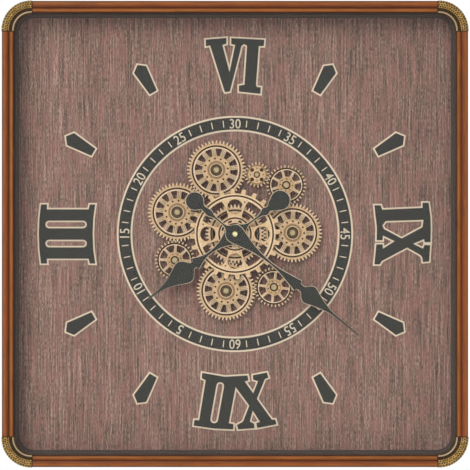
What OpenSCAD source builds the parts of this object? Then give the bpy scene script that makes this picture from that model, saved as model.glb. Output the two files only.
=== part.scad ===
// Square wall clock with an open gear train.
// Every module draws its piece in dial coordinates: x to the right, y up, z away from the wall,
// with the hands' axis at x = 0, y = 0. The module on_wall() then stands it up, facing -Y,
// with the origin on the wall behind the seat of the hanging keyhole.

/* [Frame] */
// Width and height over the corner castings
frame_w = 600; // [500:5:720]
// Depth from the glass to the front of the castings
lip_thick = 6; // [5.5:0.5:16]
// Radius of the outer corner
corner_r = 38; // [34:1:46]
// Width of the moulding seen from the front
moulding_w = 16; // [15:0.5:20]
// Thickness of the rail behind the front lip
rail_wall = 12.5; // [10:0.5:13]
// How far the castings stand proud of the rails
casting_proud = 0.6; // [0.2:0.1:1.2]
// Straight stub at each end of a casting
casting_stub = 1; // [0.5:0.5:6]
// How far a casting reaches further in than the rails do
casting_lip = 1.6; // [0.4:0.1:2.4]
// Width of the outer bead
outer_bead_w = 9.7; // [8:0.1:11]
// Height of the outer bead
outer_bead_h = 3; // [1:0.5:4]
// Width of the groove between the beads
bead_groove = 0.8; // [0.4:0.1:1.5]
// Height of the inner bead
inner_bead_h = 1.8; // [1:0.2:2.4]
// How far the inner bead lies behind the outer one
inner_bead_drop = 0.6; // [0:0.1:1]
// Width of the thin bead line on a casting
casting_line_w = 2.2; // [1.5:0.1:2.4]
// Depth of the recess between the two bands of a casting
casting_recess = 2.6; // [1:0.2:3]

/* [Glass and liner] */
// Thickness of the front glass
glass_thick = 3; // [2:0.5:4]
// Free depth between the hands and the glass
glass_room = 5.4; // [5:0.2:9]
// Thickness of the liner band that holds the glass away from the dial
liner_thick = 5.7; // [4.5:0.1:8]
// Clearance of the glass, liner and dial in the frame
panel_fit = 0.3; // [0.1:0.1:0.6]

/* [Dial] */
// Distance from the wall to the back of the dial
dial_back = 24; // [23:1:30]
// Thickness of the dial panel
dial_thick = 6; // [4:0.5:8]
// Thickness of the cream layer of the dial trim
cream_thick = 0.8; // [0.4:0.1:1.2]
// Thickness of the dark layer of the dial trim
dark_thick = 0.8; // [0.4:0.1:1.2]
// Width of the cream line round the trim
outline_w = 2.1; // [1.2:0.1:2.6]

/* [Minute track] */
// Outer radius of the minute track
track_r = 154; // [150:1:160]
// Width of the minute track
track_w = 20.2; // [16:0.2:24]
// Width of its cream border lines
track_line_w = 2.5; // [1.5:0.1:3]
// Length of a minute tick
tick_len = 8.7; // [6:0.1:10]
// Width of a minute tick
tick_w = 1.2; // [0.8:0.1:1.6]
// Height of a tick above the track
tick_thick = 0.25; // [0.15:0.05:0.4]

/* [Numerals] */
// Share of the room between the track and the liner that lies under the foot of a numeral
numeral_foot_share = 0.225; // [0.18:0.005:0.28]
// Share of that room that a numeral is high
numeral_share = 0.5725; // [0.5:0.0025:0.65]
// Share of that room that an hour baton is long
baton_share = 0.342; // [0.28:0.002:0.36]
// Half width of a baton at its widest
baton_half_w = 10.2; // [7:0.2:11]

/* [Gear train] */
// Tooth module of the wheels
tooth_module = 1.56; // [1.5:0.01:1.6]
// Side play between two meshing teeth
tooth_play = 0.9; // [0.3:0.05:1]
// Thickness of a wheel
wheel_thick = 3; // [2.5:0.1:4]
// Gap between the dial and the back of the wheels
wheel_standoff = 6; // [4:0.5:7]
// End play of a wheel on its axle
end_play = 0.3; // [0.2:0.05:0.5]
// Radius of a wheel axle
axle_r = 2.5; // [2:0.1:3]
// Outer radius of the spacer under a wheel
spacer_r = 5; // [4:0.1:6]
// Width of an engraved ring on a wheel
engrave_w = 1.4; // [0.8:0.1:1.6]
// Depth of the engraving
engrave_depth = 0.6; // [0.3:0.1:1]
// Height of the raised ring round a hub
hub_rise = 0.7; // [0.3:0.1:0.8]
// Depth of the recess round an axle head
hub_recess = 1.3; // [0.8:0.1:1.5]
// Height of an axle head
head_h = 2; // [1:0.1:2.2]
// Width across the corners of an axle nut
axle_nut_w = 9; // [8:0.5:11]
// Thickness of an axle nut
axle_nut_h = 3; // [2:0.5:4]

/* [Large wheels] */
// Radius of the engraved rim ring
large_ring_r = 31; // [30:0.5:32]
// Outer end of a window
large_window_out = 28; // [26:0.5:29]
// Inner end of a window
large_window_in = 18.2; // [17.5:0.1:20]
// Half width of a window at its outer end
large_window_half = 4.6; // [3:0.1:5.2]
// Radius of the ring of dots
large_dots_r = 15; // [14.5:0.1:15.5]
// Radius of a dot
large_dot_r = 0.9; // [0.6:0.1:1.1]
// Outer radius of the hub ring
large_hub_r = 11; // [10:0.1:12]
// Radius of the recess round the axle head
large_recess_r = 7.5; // [6:0.1:8]
// Radius of the axle head
large_head_r = 3.9; // [3.2:0.1:5]

/* [Medium wheels] */
// Radius of the engraved rim ring
medium_ring_r = 21.8; // [21:0.1:22]
// Outer end of a window
medium_window_out = 19.8; // [18:0.1:20.4]
// Inner end of a window
medium_window_in = 10.9; // [10:0.1:12]
// Half width of a window at its outer end
medium_window_half = 6.1; // [4:0.1:6.4]
// Radius of the ring of dots
medium_dots_r = 7.5; // [7.2:0.1:8]
// Radius of a dot
medium_dot_r = 0.7; // [0.5:0.1:0.8]
// Outer radius of the hub ring
medium_hub_r = 9; // [8.8:0.1:9.5]
// Radius of the recess round the axle head
medium_recess_r = 5.5; // [5:0.1:6]
// Radius of the axle head
medium_head_r = 4; // [3.4:0.1:4.4]

/* [Pinion wheel] */
// Radius of the engraved rim ring
pinion_ring_r = 12.2; // [12:0.1:12.4]
// Radius of the circle of its four holes
pinion_holes_r = 8.8; // [8:0.1:9]
// Radius of a hole
pinion_hole_r = 2.5; // [2:0.1:2.6]
// Radius of the recess round the axle head
pinion_recess_r = 4.2; // [4:0.1:4.6]
// Radius of the axle head
pinion_head_r = 3; // [2.8:0.1:3.3]

/* [Centre wheel and crown] */
// Outer radius of the centre wheel's windows
centre_window_out = 29.5; // [27:0.1:29.8]
// Inner radius of the centre wheel's windows
centre_window_in = 24.3; // [20:0.1:25]
// Radius at the foot of the crown's teeth
crown_root_r = 53.5; // [52:0.5:55]
// Height of a crown tooth
crown_tooth_h = 5.2; // [4:0.1:6]
// Width of a crown tooth at its foot
crown_foot_w = 6.2; // [5:0.1:7]
// Width of a crown tooth at its top
crown_top_w = 4.8; // [4:0.1:5]
// Thickness of the crown
crown_thick = 2.5; // [2:0.1:3]
// Gap between the wheels and the back of the crown
crown_gap = 1.5; // [1.2:0.1:2]
// Radius of the crown's engraved rim ring
crown_ring_r = 49.4; // [48:0.1:50]
// Distance of the round windows from the axis
crown_port_at = 35.2; // [34:0.1:36]
// Radius of the round windows
crown_port_r = 9.9; // [8:0.1:10.2]
// Outer radius of the large windows
crown_window_out = 45.6; // [44:0.1:46]
// Inner radius of the large windows
crown_window_in = 22.8; // [22:0.1:24]
// Radius of the outer ring engraved on the hub
crown_hub_ring_r = 20.7; // [20:0.1:21]
// Radius of the row of slots on the hub
crown_slots_r = 17.1; // [16:0.1:18]
// Radius of the inner ring engraved on the hub
crown_inner_ring_r = 13.3; // [12.5:0.1:14]
// Distance of the four small holes from the axis
crown_pips_r = 43.2; // [42.5:0.1:43.5]
// Radius of a small hole
crown_pip_r = 0.9; // [0.6:0.1:1]
// Radius of the boss that carries the crown
crown_boss_r = 16; // [12:0.5:17]

/* [Hands] */
// Length of the minute hand from its axis to the tip
minute_len = 206.8; // [190:0.1:215]
// Half width of the minute hand's leaf
minute_half_w = 12.2; // [10:0.1:14]
// Distance of the minute hand's counterweight disc
minute_tail = 67.2; // [60:0.1:72]
// Radius of that disc
minute_disc_r = 11.5; // [9:0.1:13]
// Length of the hour hand from its axis to the tip
hour_len = 140.6; // [125:0.1:146]
// Half width of the hour hand's leaf
hour_half_w = 15.1; // [12:0.1:17]
// Distance of the hour hand's counterweight disc
hour_tail = 73; // [66:0.1:78]
// Radius of that disc
hour_disc_r = 12.5; // [9:0.1:13.5]
// Width of the cream rim round a hand
hand_rim = 0.8; // [0.6:0.1:1.2]
// Thickness of the rim layer of a hand
rim_thick = 0.5; // [0.3:0.1:0.7]
// Thickness of the dark layer of a hand
blade_thick = 0.6; // [0.4:0.1:0.8]
// Depth from the crown's flange to the hour hand
hour_rise = 3.7; // [2.6:0.1:5]
// Depth from the hour hand to the minute hand
minute_rise = 2.9; // [2:0.1:4]
// Direction of the hour hand, clockwise from twelve
hour_angle = 53.2; // [0:0.1:360]
// Direction of the minute hand, clockwise from twelve
minute_angle = 309.3; // [0:0.1:360]
// Radius of the round nut on the hands
hand_nut_r = 3.8; // [3:0.1:4.5]
// Height of that nut
hand_nut_h = 2.5; // [2:0.1:3]

/* [Movement] */
// Side of the square movement case
movement_w = 56; // [54:1:64]
// How far the arbor lies above the middle of the case
movement_shift = 2.5; // [2:0.1:3]
// Distance from the wall to the back of the cases
case_back = 5.6; // [5:0.1:5.6]
// Wall of the cases
case_wall = 1.5; // [1.2:0.1:1.8]
// Radius of the threaded collar
collar_r = 4; // [3.8:0.1:4.2]
// Radius of the minute arbor
minute_arbor_r = 1.5; // [1.2:0.1:1.6]
// Wall of the hour tube
hour_tube_wall = 1.05; // [0.9:0.05:1.1]
// Outer radius of the sleeve that the centre wheel turns on
sleeve_r = 6; // [5.5:0.1:6.5]
// Radius of the sleeve's front flange
flange_r = 9.5; // [8:0.1:11]
// Thickness of that flange
flange_thick = 1; // [0.8:0.1:1.2]
// Tooth module of the motion work
motion_module = 0.5; // [0.48:0.01:0.52]
// Side play of the motion work's teeth
motion_play = 0.1; // [0.08:0.01:0.14]
// Radius of the setting knob
knob_r = 7; // [6:0.1:8]
// Radius of a battery cell
cell_r = 7.2; // [7:0.05:7.25]
// Length of a battery cell without its nub
cell_len = 49.5; // [48:0.1:50]

/* [Gear drive] */
// Width of the gear drive box
drive_w = 68; // [66:1:80]
// Height of the gear drive box
drive_h = 62; // [62:1:72]
// How far the drive arbor lies below the top of the box
drive_arbor_drop = 18; // [17:0.5:20]
// Travel of the on and off switch
switch_travel = 4; // [3:0.5:5]

/* [Hanging] */
// Distance from the top of the frame to the hanging point
hanger_drop = 97; // [95:1:110]
// Height of the wooden batten behind the dial
batten_h = 36; // [34:1:40]
// Width of the keyhole slot
keyhole_slot = 5; // [4.4:0.1:6]
// Radius of the keyhole's round mouth
keyhole_mouth_r = 5.5; // [5:0.1:6]
// Distance between slot seat and mouth
keyhole_drop = 10; // [9:0.5:12]
// Thickness of the wall bumpers
bumper_thick = 2.5; // [2:0.1:3]

/* [Fits] */
// Radial clearance of a running fit
running_fit = 0.05; // [0.03:0.01:0.08]
// Radial clearance of a seated fit
seat_fit = 0.02; // [0.01:0.01:0.04]

/* [Hidden] */
$fn = 72;
overrun = 1;
frame_half = frame_w / 2;
corner_at = frame_half - corner_r;
rail_len = 2 * (corner_at - casting_stub);
rail_back = bumper_thick;
rail_inner = frame_half - rail_wall;
hang_rise = frame_half - hanger_drop;
outer_bead_end = casting_proud + outer_bead_w;
inner_bead_at = outer_bead_end + bead_groove;
dial_front = dial_back + dial_thick;
cream_top = dial_front + cream_thick;
dark_top = cream_top + dark_thick;

wheel_back = dial_front + wheel_standoff;
wheel_front = wheel_back + wheel_thick;
spacer_top = wheel_back - end_play;
head_back = wheel_front - hub_recess + end_play;
crown_back = wheel_front + crown_gap;
crown_front = crown_back + crown_thick;
flange_back = crown_front + end_play;
flange_front = flange_back + flange_thick;
hand_thick = rim_thick + blade_thick;
hour_back = flange_front + hour_rise;
hour_front = hour_back + hand_thick;
minute_back = hour_front + minute_rise;
minute_front = minute_back + hand_thick;
nut_front = minute_front + hand_nut_h;
glass_back = nut_front + glass_room;
glass_front = glass_back + glass_thick;
frame_depth = glass_front + lip_thick;
bead_base = frame_depth - outer_bead_h;

panel_inset = rail_wall + panel_fit;
opening_half = frame_half - panel_inset - liner_thick;
dial_room = opening_half - track_r;
numeral_r = track_r + dial_room * numeral_foot_share;
numeral_h = dial_room * numeral_share;
baton_len = dial_room * baton_share;
baton_foot_r = numeral_r + numeral_h - baton_len;

// Plane geometry

function polar(r, a) = [r * cos(a), r * sin(a)];

// Angle that a length takes up on a circle
function arc_angle(length, r) = length / r * 180 / PI;

quarter_turn = 90;

function arc_points(r, a0, a1, n) = [for (i = [0:n]) polar(r, a0 + (a1 - a0) * i / n)];

function mirrored(points) = [for (i = [len(points) - 1:-1:0]) [points[i][0], -points[i][1]]];

function blend(a, b, s) = a + (b - a) * s;

// Share of an edge that the rounding of one corner may take
round_reach_share = 0.48;

function corner_points(a, b, c, r, n) =
    let (
        u = (a - b) / norm(a - b),
        v = (c - b) / norm(c - b),
        half = acos(max(-1, min(1, u * v))) / 2,
        limit = min(norm(a - b), norm(c - b)) * round_reach_share,
        reach = min(r / tan(half), limit),
        p = b + u * reach,
        q = b + v * reach
    )
    [for (i = [0:n]) blend(blend(p, b, i / n), blend(b, q, i / n), i / n)];

function rounded(points, r, n) =
    let (count = len(points))
    [for (i = [0:count - 1])
        each corner_points(points[(i + count - 1) % count], points[i], points[(i + 1) % count], r, n)];

module on_wall() translate([0, 0, -hang_rise]) rotate([90, 0, 0]) children();

module slab(from, to) translate([0, 0, from]) linear_extrude(to - from) children();

module block(low, high) translate(low) cube(high - low);

module disc(r, from, to) translate([0, 0, from]) cylinder(r = r, h = to - from);

module ring(outer, inner, from, to) {
    difference() {
        disc(outer, from, to);
        disc(inner, from - overrun, to + overrun);
    }
}

// Frame

rail_colour = "sienna";
casting_colour = "darkgoldenrod";
timber_colour = "tan";

// One convex bead of the moulding, from w0 to w1 across it, standing h over its base
module bead(w0, w1, base, h) {
    half = (w1 - w0) / 2;
    r = (half * half + h * h) / (2 * h);
    intersection() {
        translate([(w0 + w1) / 2, base + h - r]) circle(r);
        translate([w0, base]) square([w1 - w0, h]);
    }
}

module rail_profile() {
    translate([casting_proud, rail_back]) square([rail_wall - casting_proud, bead_base - rail_back]);
    translate([casting_proud, glass_front]) {
        square([moulding_w - casting_proud, bead_base - glass_front - inner_bead_drop]);
    }
    bead(casting_proud, outer_bead_end, bead_base, outer_bead_h - casting_proud);
    bead(inner_bead_at, moulding_w, bead_base - inner_bead_drop, inner_bead_h);
}

module casting_profile() {
    lip_w = moulding_w + casting_lip;
    line_at = moulding_w - casting_line_w;
    band_h = outer_bead_h - casting_recess / 2;
    translate([0, rail_back]) square([rail_wall, glass_front - rail_back]);
    translate([0, glass_front]) square([lip_w, frame_depth - casting_recess - glass_front]);
    translate([0, glass_front]) square([outer_bead_w, frame_depth - band_h - glass_front]);
    bead(0, outer_bead_w, frame_depth - band_h, band_h);
    bead(line_at, moulding_w, frame_depth - casting_recess, casting_recess / 2);
}

module from_outer_edge(edge) translate([edge, 0]) mirror([1, 0]) children();

module run_along(from, length) {
    translate([from, 0, 0]) rotate([90, 0, 90]) linear_extrude(length) children();
}

// Brace screws go through the braces into the rails
brace_leg = 62;
brace_thick = 14;
brace_w = 18;
brace_back = dial_back - brace_w;
brace_mid = (brace_back + dial_back) / 2;
brace_screw_share = 0.27;
screw_r = 1.6;
screw_head_r = 3.4;
screw_head_h = 1.2;
screw_bite_share = 0.7;
brace_end = rail_inner - brace_leg;
brace_screw_at = brace_end + brace_leg * brace_screw_share;
screw_bite = rail_wall * screw_bite_share;

module rail(turn) {
    color(rail_colour) on_wall() rotate([0, 0, turn]) difference() {
        run_along(-rail_len / 2, rail_len) from_outer_edge(frame_half) rail_profile();
        for (side = [-1, 1]) {
            translate([side * brace_screw_at, rail_inner - overrun, brace_mid]) rotate([-90, 0, 0])
                cylinder(r = screw_r, h = screw_bite + overrun);
        }
    }
}

module rail_top() rail(0);
module rail_left() rail(90);
module rail_bottom() rail(180);
module rail_right() rail(270);

module casting(turn) {
    color(casting_colour) on_wall() rotate([0, 0, turn]) {
        translate([corner_at, corner_at, 0]) intersection() {
            rotate_extrude() from_outer_edge(corner_r) casting_profile();
            cube([frame_half, frame_half, frame_depth + overrun]);
        }
        run_along(corner_at - casting_stub, casting_stub) from_outer_edge(frame_half) casting_profile();
        mirror([1, -1, 0]) {
            run_along(corner_at - casting_stub, casting_stub) from_outer_edge(frame_half) casting_profile();
        }
    }
}

module casting_upper_right() casting(0);
module casting_upper_left() casting(90);
module casting_lower_left() casting(180);
module casting_lower_right() casting(270);

// Rounded square at a distance inside the frame's outer edge
module panel_shape(inset) {
    half = frame_half - inset;
    r = corner_r - inset;
    square([2 * half, 2 * (half - r)], center = true);
    square([2 * (half - r), 2 * half], center = true);
    for (x = [-1, 1], y = [-1, 1]) {
        translate([x * (half - r), y * (half - r)]) circle(r);
    }
}

module corner_braces() {
    color(timber_colour) on_wall() for (turn = [0:90:270]) rotate([0, 0, turn]) {
        difference() {
            slab(brace_back, dial_back) intersection() {
                panel_shape(rail_wall);
                union() {
                    translate([rail_inner - brace_thick, brace_end]) square([brace_thick, brace_leg]);
                    translate([brace_end, rail_inner - brace_thick]) square([brace_leg, brace_thick]);
                }
            }
            brace_screw_holes();
        }
    }
}

module brace_screw_holes() {
    translate([brace_screw_at, rail_inner - brace_thick - overrun, brace_mid]) rotate([-90, 0, 0])
        cylinder(r = screw_r, h = brace_thick + 2 * overrun);
    translate([rail_inner - brace_thick - overrun, brace_screw_at, brace_mid]) rotate([0, 90, 0])
        cylinder(r = screw_r, h = brace_thick + 2 * overrun);
}

// Hanging gear

plate_thick = 2;
plate_back = plate_thick;
plate_front = plate_back + plate_thick;
plate_half_w = 30;
plate_above = 9;
plate_below = 19;
plate_screw_at = 22;
batten_back = plate_front;
pocket_half_w = 8;
pocket_depth = 11;
pocket_above = 6;
pocket_below = 17;
hanger_screw_len = 12;

module keyhole(grow) {
    translate([0, hang_rise]) circle(keyhole_slot / 2 + grow);
    translate([-keyhole_slot / 2 - grow, hang_rise - keyhole_drop]) {
        square([keyhole_slot + 2 * grow, keyhole_drop]);
    }
    translate([0, hang_rise - keyhole_drop]) circle(keyhole_mouth_r + grow);
}

module hanger_plate() {
    color("silver") on_wall() difference() {
        slab(plate_back, plate_front) translate([-plate_half_w, hang_rise - plate_below]) {
            square([2 * plate_half_w, plate_above + plate_below]);
        }
        slab(plate_back - overrun, plate_front + overrun) keyhole(0);
        for (side = [-1, 1]) {
            translate([side * plate_screw_at, hang_rise, 0]) {
                disc(screw_r, plate_back - overrun, plate_front + overrun);
            }
        }
    }
}

module hanger_batten() {
    low = hang_rise - batten_h / 2;
    color(timber_colour) on_wall() difference() {
        slab(batten_back, dial_back) translate([-rail_inner, low]) square([2 * rail_inner, batten_h]);
        slab(batten_back - overrun, batten_back + pocket_depth) {
            translate([-pocket_half_w, hang_rise - pocket_below]) {
                square([2 * pocket_half_w, pocket_above + pocket_below]);
            }
        }
        for (side = [-1, 1]) {
            translate([side * plate_screw_at, hang_rise, 0]) {
                disc(screw_r, batten_back - overrun, plate_back + hanger_screw_len);
            }
        }
    }
}

module screw(length) {
    disc(screw_head_r, -screw_head_h, 0);
    disc(screw_r, 0, length);
}

module wood_screws() {
    color("goldenrod") on_wall() {
        for (turn = [0:90:270]) rotate([0, 0, turn]) {
            translate([brace_screw_at, rail_inner - brace_thick, brace_mid]) rotate([-90, 0, 0])
                screw(brace_thick + screw_bite);
            translate([rail_inner - brace_thick, brace_screw_at, brace_mid]) rotate([0, 90, 0])
                screw(brace_thick + screw_bite);
        }
        for (side = [-1, 1]) translate([side * plate_screw_at, hang_rise, plate_back]) {
            screw(hanger_screw_len);
        }
        at_drive_ears() translate([0, 0, ear_back]) screw(ear_screw_len);
    }
}

bumper_r = 5;
bumper_at_share = 0.8;

module wall_bumpers() {
    color("dimgray") on_wall() for (x = [-1, 1], y = [-1, 1]) {
        translate([x * frame_half * bumper_at_share, y * (frame_half - rail_wall / 2), 0]) {
            disc(bumper_r, 0, bumper_thick);
        }
    }
}

// Glass, liner and dial

module front_glass() {
    color("lightblue", 0.3) on_wall() slab(glass_back, glass_front) panel_shape(panel_inset);
}

module glass_liner() {
    color("dimgray") on_wall() slab(dial_front, glass_back) difference() {
        panel_shape(panel_inset);
        panel_shape(panel_inset + liner_thick);
    }
}

module dial_panel() {
    color("rosybrown") on_wall() difference() {
        slab(dial_back, dial_front) panel_shape(panel_inset);
        disc(collar_r, dial_back - overrun, dial_front + overrun);
        for (i = FREE_WHEELS) at_wheel(i) disc(axle_r, dial_back - overrun, dial_front + overrun);
        at_wheel(DRIVE) disc(drive_arbor_r + drive_clearance, dial_back - overrun, dial_front + overrun);
        at_drive_ears() disc(screw_r, dial_back - overrun, ear_back + ear_screw_len);
    }
}

// Dial trim. Numeral outlines are given as shares of the numeral height:
// across from the middle of the numeral, and up from its foot.

xii_shares = [
    [0.598, -0.04], [0.18, 0.032], [-0.233, 0.008], [-0.257, 0.121], [-0.197, 0.139], [-0.322, 0.313],
    [-0.394, 0.133], [-0.311, 0.109], [-0.304, 0.008], [-0.579, -0.046], [-0.615, 0.068],
    [-0.544, 0.098], [-0.406, 0.438], [-0.663, 0.797], [-0.729, 0.797], [-0.759, 0.905],
    [-0.388, 0.976], [-0.364, 0.863], [-0.424, 0.845], [-0.322, 0.683], [-0.281, 0.839],
    [-0.352, 0.875], [-0.364, 0.976], [-0.047, 1], [-0.018, 0.899], [-0.131, 0.839],
    [-0.239, 0.564], [-0.018, 0.265], [0.096, 0.863], [0.013, 0.881], [0.018, 1],
    [0.383, 0.983], [0.754, 0.929], [0.736, 0.803], [0.652, 0.809], [0.539, 0.116], [0.61, 0.08]
];
xii_slot_shares = [[0.264, 0.211], [0.371, 0.808]];
iii_half_shares = [
    [0, 1.013], [0.266, 1.004], [0.541, 0.973], [0.541, 0.838], [0.454, 0.843],
    [0.454, 0.121], [0.541, 0.102], [0.541, -0.023], [0.266, 0.016], [0, 0.025]
];
iii_slot_shares = [[0.17, 0.211], [0.17, 0.815]];
vi_shares = [
    [-0.537, 0.981], [-0.14, 1.013], [-0.14, 0.886], [-0.209, 0.863], [-0.099, 0.448],
    [-0.013, 0.863], [-0.081, 0.877], [-0.081, 1.009], [0.539, 0.977], [0.525, 0.84],
    [0.438, 0.84], [0.388, 0.166], [0.402, 0.134], [0.475, 0.13], [0.466, -0.016],
    [0.056, 0.029], [0.056, 0.157], [0.156, 0.175], [0.201, 0.849], [0.165, 0.872],
    [0.129, 0.849], [-0.081, 0.029], [-0.181, 0.016], [-0.199, 0.038], [-0.454, 0.849],
    [-0.532, 0.831]
];
ix_shares = [
    [-0.526, -0.029], [-0.526, 0.109], [-0.449, 0.135], [-0.48, 0.832], [-0.572, 0.832],
    [-0.572, 0.965], [-0.295, 1.001], [-0.08, 1.006], [0.156, 1.001], [0.161, 0.873],
    [0.11, 0.863], [0.176, 0.709], [0.243, 0.847], [0.182, 0.873], [0.187, 0.996],
    [0.504, 0.975], [0.515, 0.842], [0.422, 0.827], [0.381, 0.791], [0.258, 0.57],
    [0.494, 0.124], [0.556, 0.094], [0.556, -0.029], [0.187, 0.007], [0.171, 0.009],
    [0.171, 0.145], [0.238, 0.15], [0.13, 0.319], [0.048, 0.15], [0.125, 0.145],
    [0.125, 0.013], [-0.121, 0.017], [-0.326, -0.009]
];
ix_counter_shares = [
    [-0.218, 0.196], [-0.239, 0.847], [-0.131, 0.832], [0.064, 0.473], [-0.1, 0.166], [-0.152, 0.145]
];
baton_shares = [[0, 0.46], [0.8, 1], [1, 0]];
slot_half_share = 0.055;

// Cream line on both sides of an outline: a positive layer grows the shape, a negative one shrinks it
module trim_layer(grow) offset(delta = grow) children();

module numeral_points(shares) polygon(shares * numeral_h);

module numeral_slot(shares) {
    low = shares[0] * numeral_h;
    high = shares[1] * numeral_h;
    r = slot_half_share * numeral_h;
    side = [(high - low)[1], -(high - low)[0]] / norm(high - low) * r;
    tilt = atan2(side[1], side[0]);
    polygon(concat(
        [for (p = arc_points(r, tilt, tilt + 180, 6)) high + p],
        [for (p = arc_points(r, tilt + 180, tilt + 360, 6)) low + p]
    ));
}

module numeral_shape(hour) {
    if (hour == 12) {
        difference() {
            numeral_points(xii_shares);
            numeral_slot(xii_slot_shares);
        }
    }
    if (hour == 3) {
        left_half = [for (i = [len(iii_half_shares) - 2:-1:1])
            [-iii_half_shares[i][0], iii_half_shares[i][1]]];
        difference() {
            numeral_points(concat(iii_half_shares, left_half));
            numeral_slot(iii_slot_shares);
            mirror([1, 0]) numeral_slot(iii_slot_shares);
        }
    }
    if (hour == 6) {
        numeral_points(vi_shares);
    }
    if (hour == 9) {
        difference() {
            numeral_points(ix_shares);
            numeral_points(ix_counter_shares);
        }
    }
}

module at_hour(hour, r) rotate([0, 0, -30 * hour]) translate([0, r]) children();

module numeral(hour) {
    color("#464644") on_wall() slab(cream_top, dark_top) {
        at_hour(hour, numeral_r) trim_layer(-outline_w / 2) numeral_shape(hour);
    }
}

module numeral_xii() numeral(12);
module numeral_iii() numeral(3);
module numeral_vi() numeral(6);
module numeral_ix() numeral(9);

baton_hours = [1, 2, 4, 5, 7, 8, 10, 11];

baton_foot_share = 0.61;
baton_shoulder_share = 0.82;

module baton_shape() {
    foot = baton_half_w * baton_foot_share;
    shoulder = baton_len * baton_shoulder_share;
    polygon([[-foot, 0], [-baton_half_w, shoulder], [0, baton_len], [baton_half_w, shoulder], [foot, 0]]);
}

module hour_batons() {
    color("#464644") on_wall() slab(cream_top, dark_top) for (hour = baton_hours) {
        at_hour(hour, baton_foot_r) trim_layer(-outline_w / 2) baton_shape();
    }
}

module dial_outlines() {
    color("#f0dcbe") on_wall() {
        slab(dial_front, cream_top) {
            for (hour = [3, 6, 9, 12]) at_hour(hour, numeral_r) {
                trim_layer(outline_w / 2) numeral_shape(hour);
            }
            for (hour = baton_hours) at_hour(hour, baton_foot_r) {
                trim_layer(outline_w / 2) baton_shape();
            }
        }
        ring(track_r, track_r - track_w, dial_front, cream_top);
    }
}

module minute_track() {
    color("#464644") on_wall() {
        ring(track_r - track_line_w, track_r - track_w + track_line_w, cream_top, dark_top);
    }
}

module minute_ticks() {
    color("#f0dcbe") on_wall() for (minute = [0:59]) if (minute % 5 != 0) {
        rotate([0, 0, -6 * minute]) slab(dark_top, dark_top + tick_thick) {
            translate([-tick_w / 2, track_r - track_w / 2 - tick_len / 2]) square([tick_w, tick_len]);
        }
    }
}

// Gear train. Each row is a wheel: its teeth, the row that it meshes with, and the direction
// of its axle from that row's axle. Row 0 is the centre wheel.

CENTRE = 0;
LEFT = 1;
LOWER_LEFT = 2;
PINION = 3;
DRIVE = 4;
RIGHT = 5;
UPPER_RIGHT = 6;
TOP = 7;
UPPER_LEFT = 8;
TRAIN = [
    [48, CENTRE, 0],
    [48, CENTRE, 181.2],
    [32, LEFT, 277.6],
    [20, LOWER_LEFT, 340.3],
    [48, PINION, 353.4],
    [48, DRIVE, 47.2],
    [32, RIGHT, 87.2],
    [48, CENTRE, 81.1],
    [32, TOP, 184.6]
];
FREE_WHEELS = [LEFT, LOWER_LEFT, PINION, RIGHT, UPPER_RIGHT, TOP, UPPER_LEFT];
large_teeth = 48;
pinion_teeth = 20;

function teeth(i) = TRAIN[i][0];
function mesh_from(i) = TRAIN[i][1];
function mesh_angle(i) = TRAIN[i][2];
function axle_distance(m, a, b) = m * (a + b) / 2;
function wheel_at(i) = i == CENTRE ? [0, 0]
    : wheel_at(mesh_from(i))
        + polar(axle_distance(tooth_module, teeth(i), teeth(mesh_from(i))), mesh_angle(i));

// Direction of a wheel's first tooth, so that it meshes with a neighbour that lies at an angle
function meshing_phase(count, other_count, other_phase, angle) =
    angle + 180 - other_count / count * (other_phase - angle) - 180 / count;
function wheel_phase(i) = i == CENTRE ? 0
    : meshing_phase(teeth(i), teeth(mesh_from(i)), wheel_phase(mesh_from(i)), mesh_angle(i));

module at_wheel(i) translate(wheel_at(i)) children();

// Stub involute teeth: addendum and dedendum are shares of the module
pressure_angle = 20;
addendum_share = 0.7;
dedendum_share = 1.45;

function involute(a) = tan(a) * 180 / PI - a;
function tooth_half(r, pitch_r, play, count) =
    90 / count - arc_angle(play / 2, pitch_r)
    + involute(pressure_angle) - involute(acos(min(1, pitch_r * cos(pressure_angle) / r)));

function gear_points(count, m, play, phase) =
    let (
        pitch_r = m * count / 2,
        radii = [pitch_r - dedendum_share * m, pitch_r, pitch_r + addendum_share * m]
    )
    [for (k = [0:count - 1]) each concat(
        [for (r = radii) polar(r, phase + k * 360 / count - tooth_half(r, pitch_r, play, count))],
        [for (j = [2:-1:0]) polar(radii[j], phase + k * 360 / count
            + tooth_half(radii[j], pitch_r, play, count))]
    )];

// Window between two spokes, with its round outer end on a circle about the axle
window_round = 0.9;
window_inner_share = 0.42;

module spoke_window(inner, outer, half) {
    tip = half * window_inner_share;
    edge = sqrt(outer * outer - half * half);
    corners = [[inner, tip], [inner, -tip], [edge, -half], [outer, 0], [edge, half]];
    polygon(rounded(corners, window_round, 3));
}

module engraved_ring(r) {
    ring(r + engrave_w / 2, r - engrave_w / 2, wheel_front - engrave_depth, wheel_front + overrun);
}

module toothed_disc(i) {
    slab(wheel_back, wheel_front) {
        polygon(gear_points(teeth(i), tooth_module, tooth_play, wheel_phase(i)));
    }
}

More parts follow.
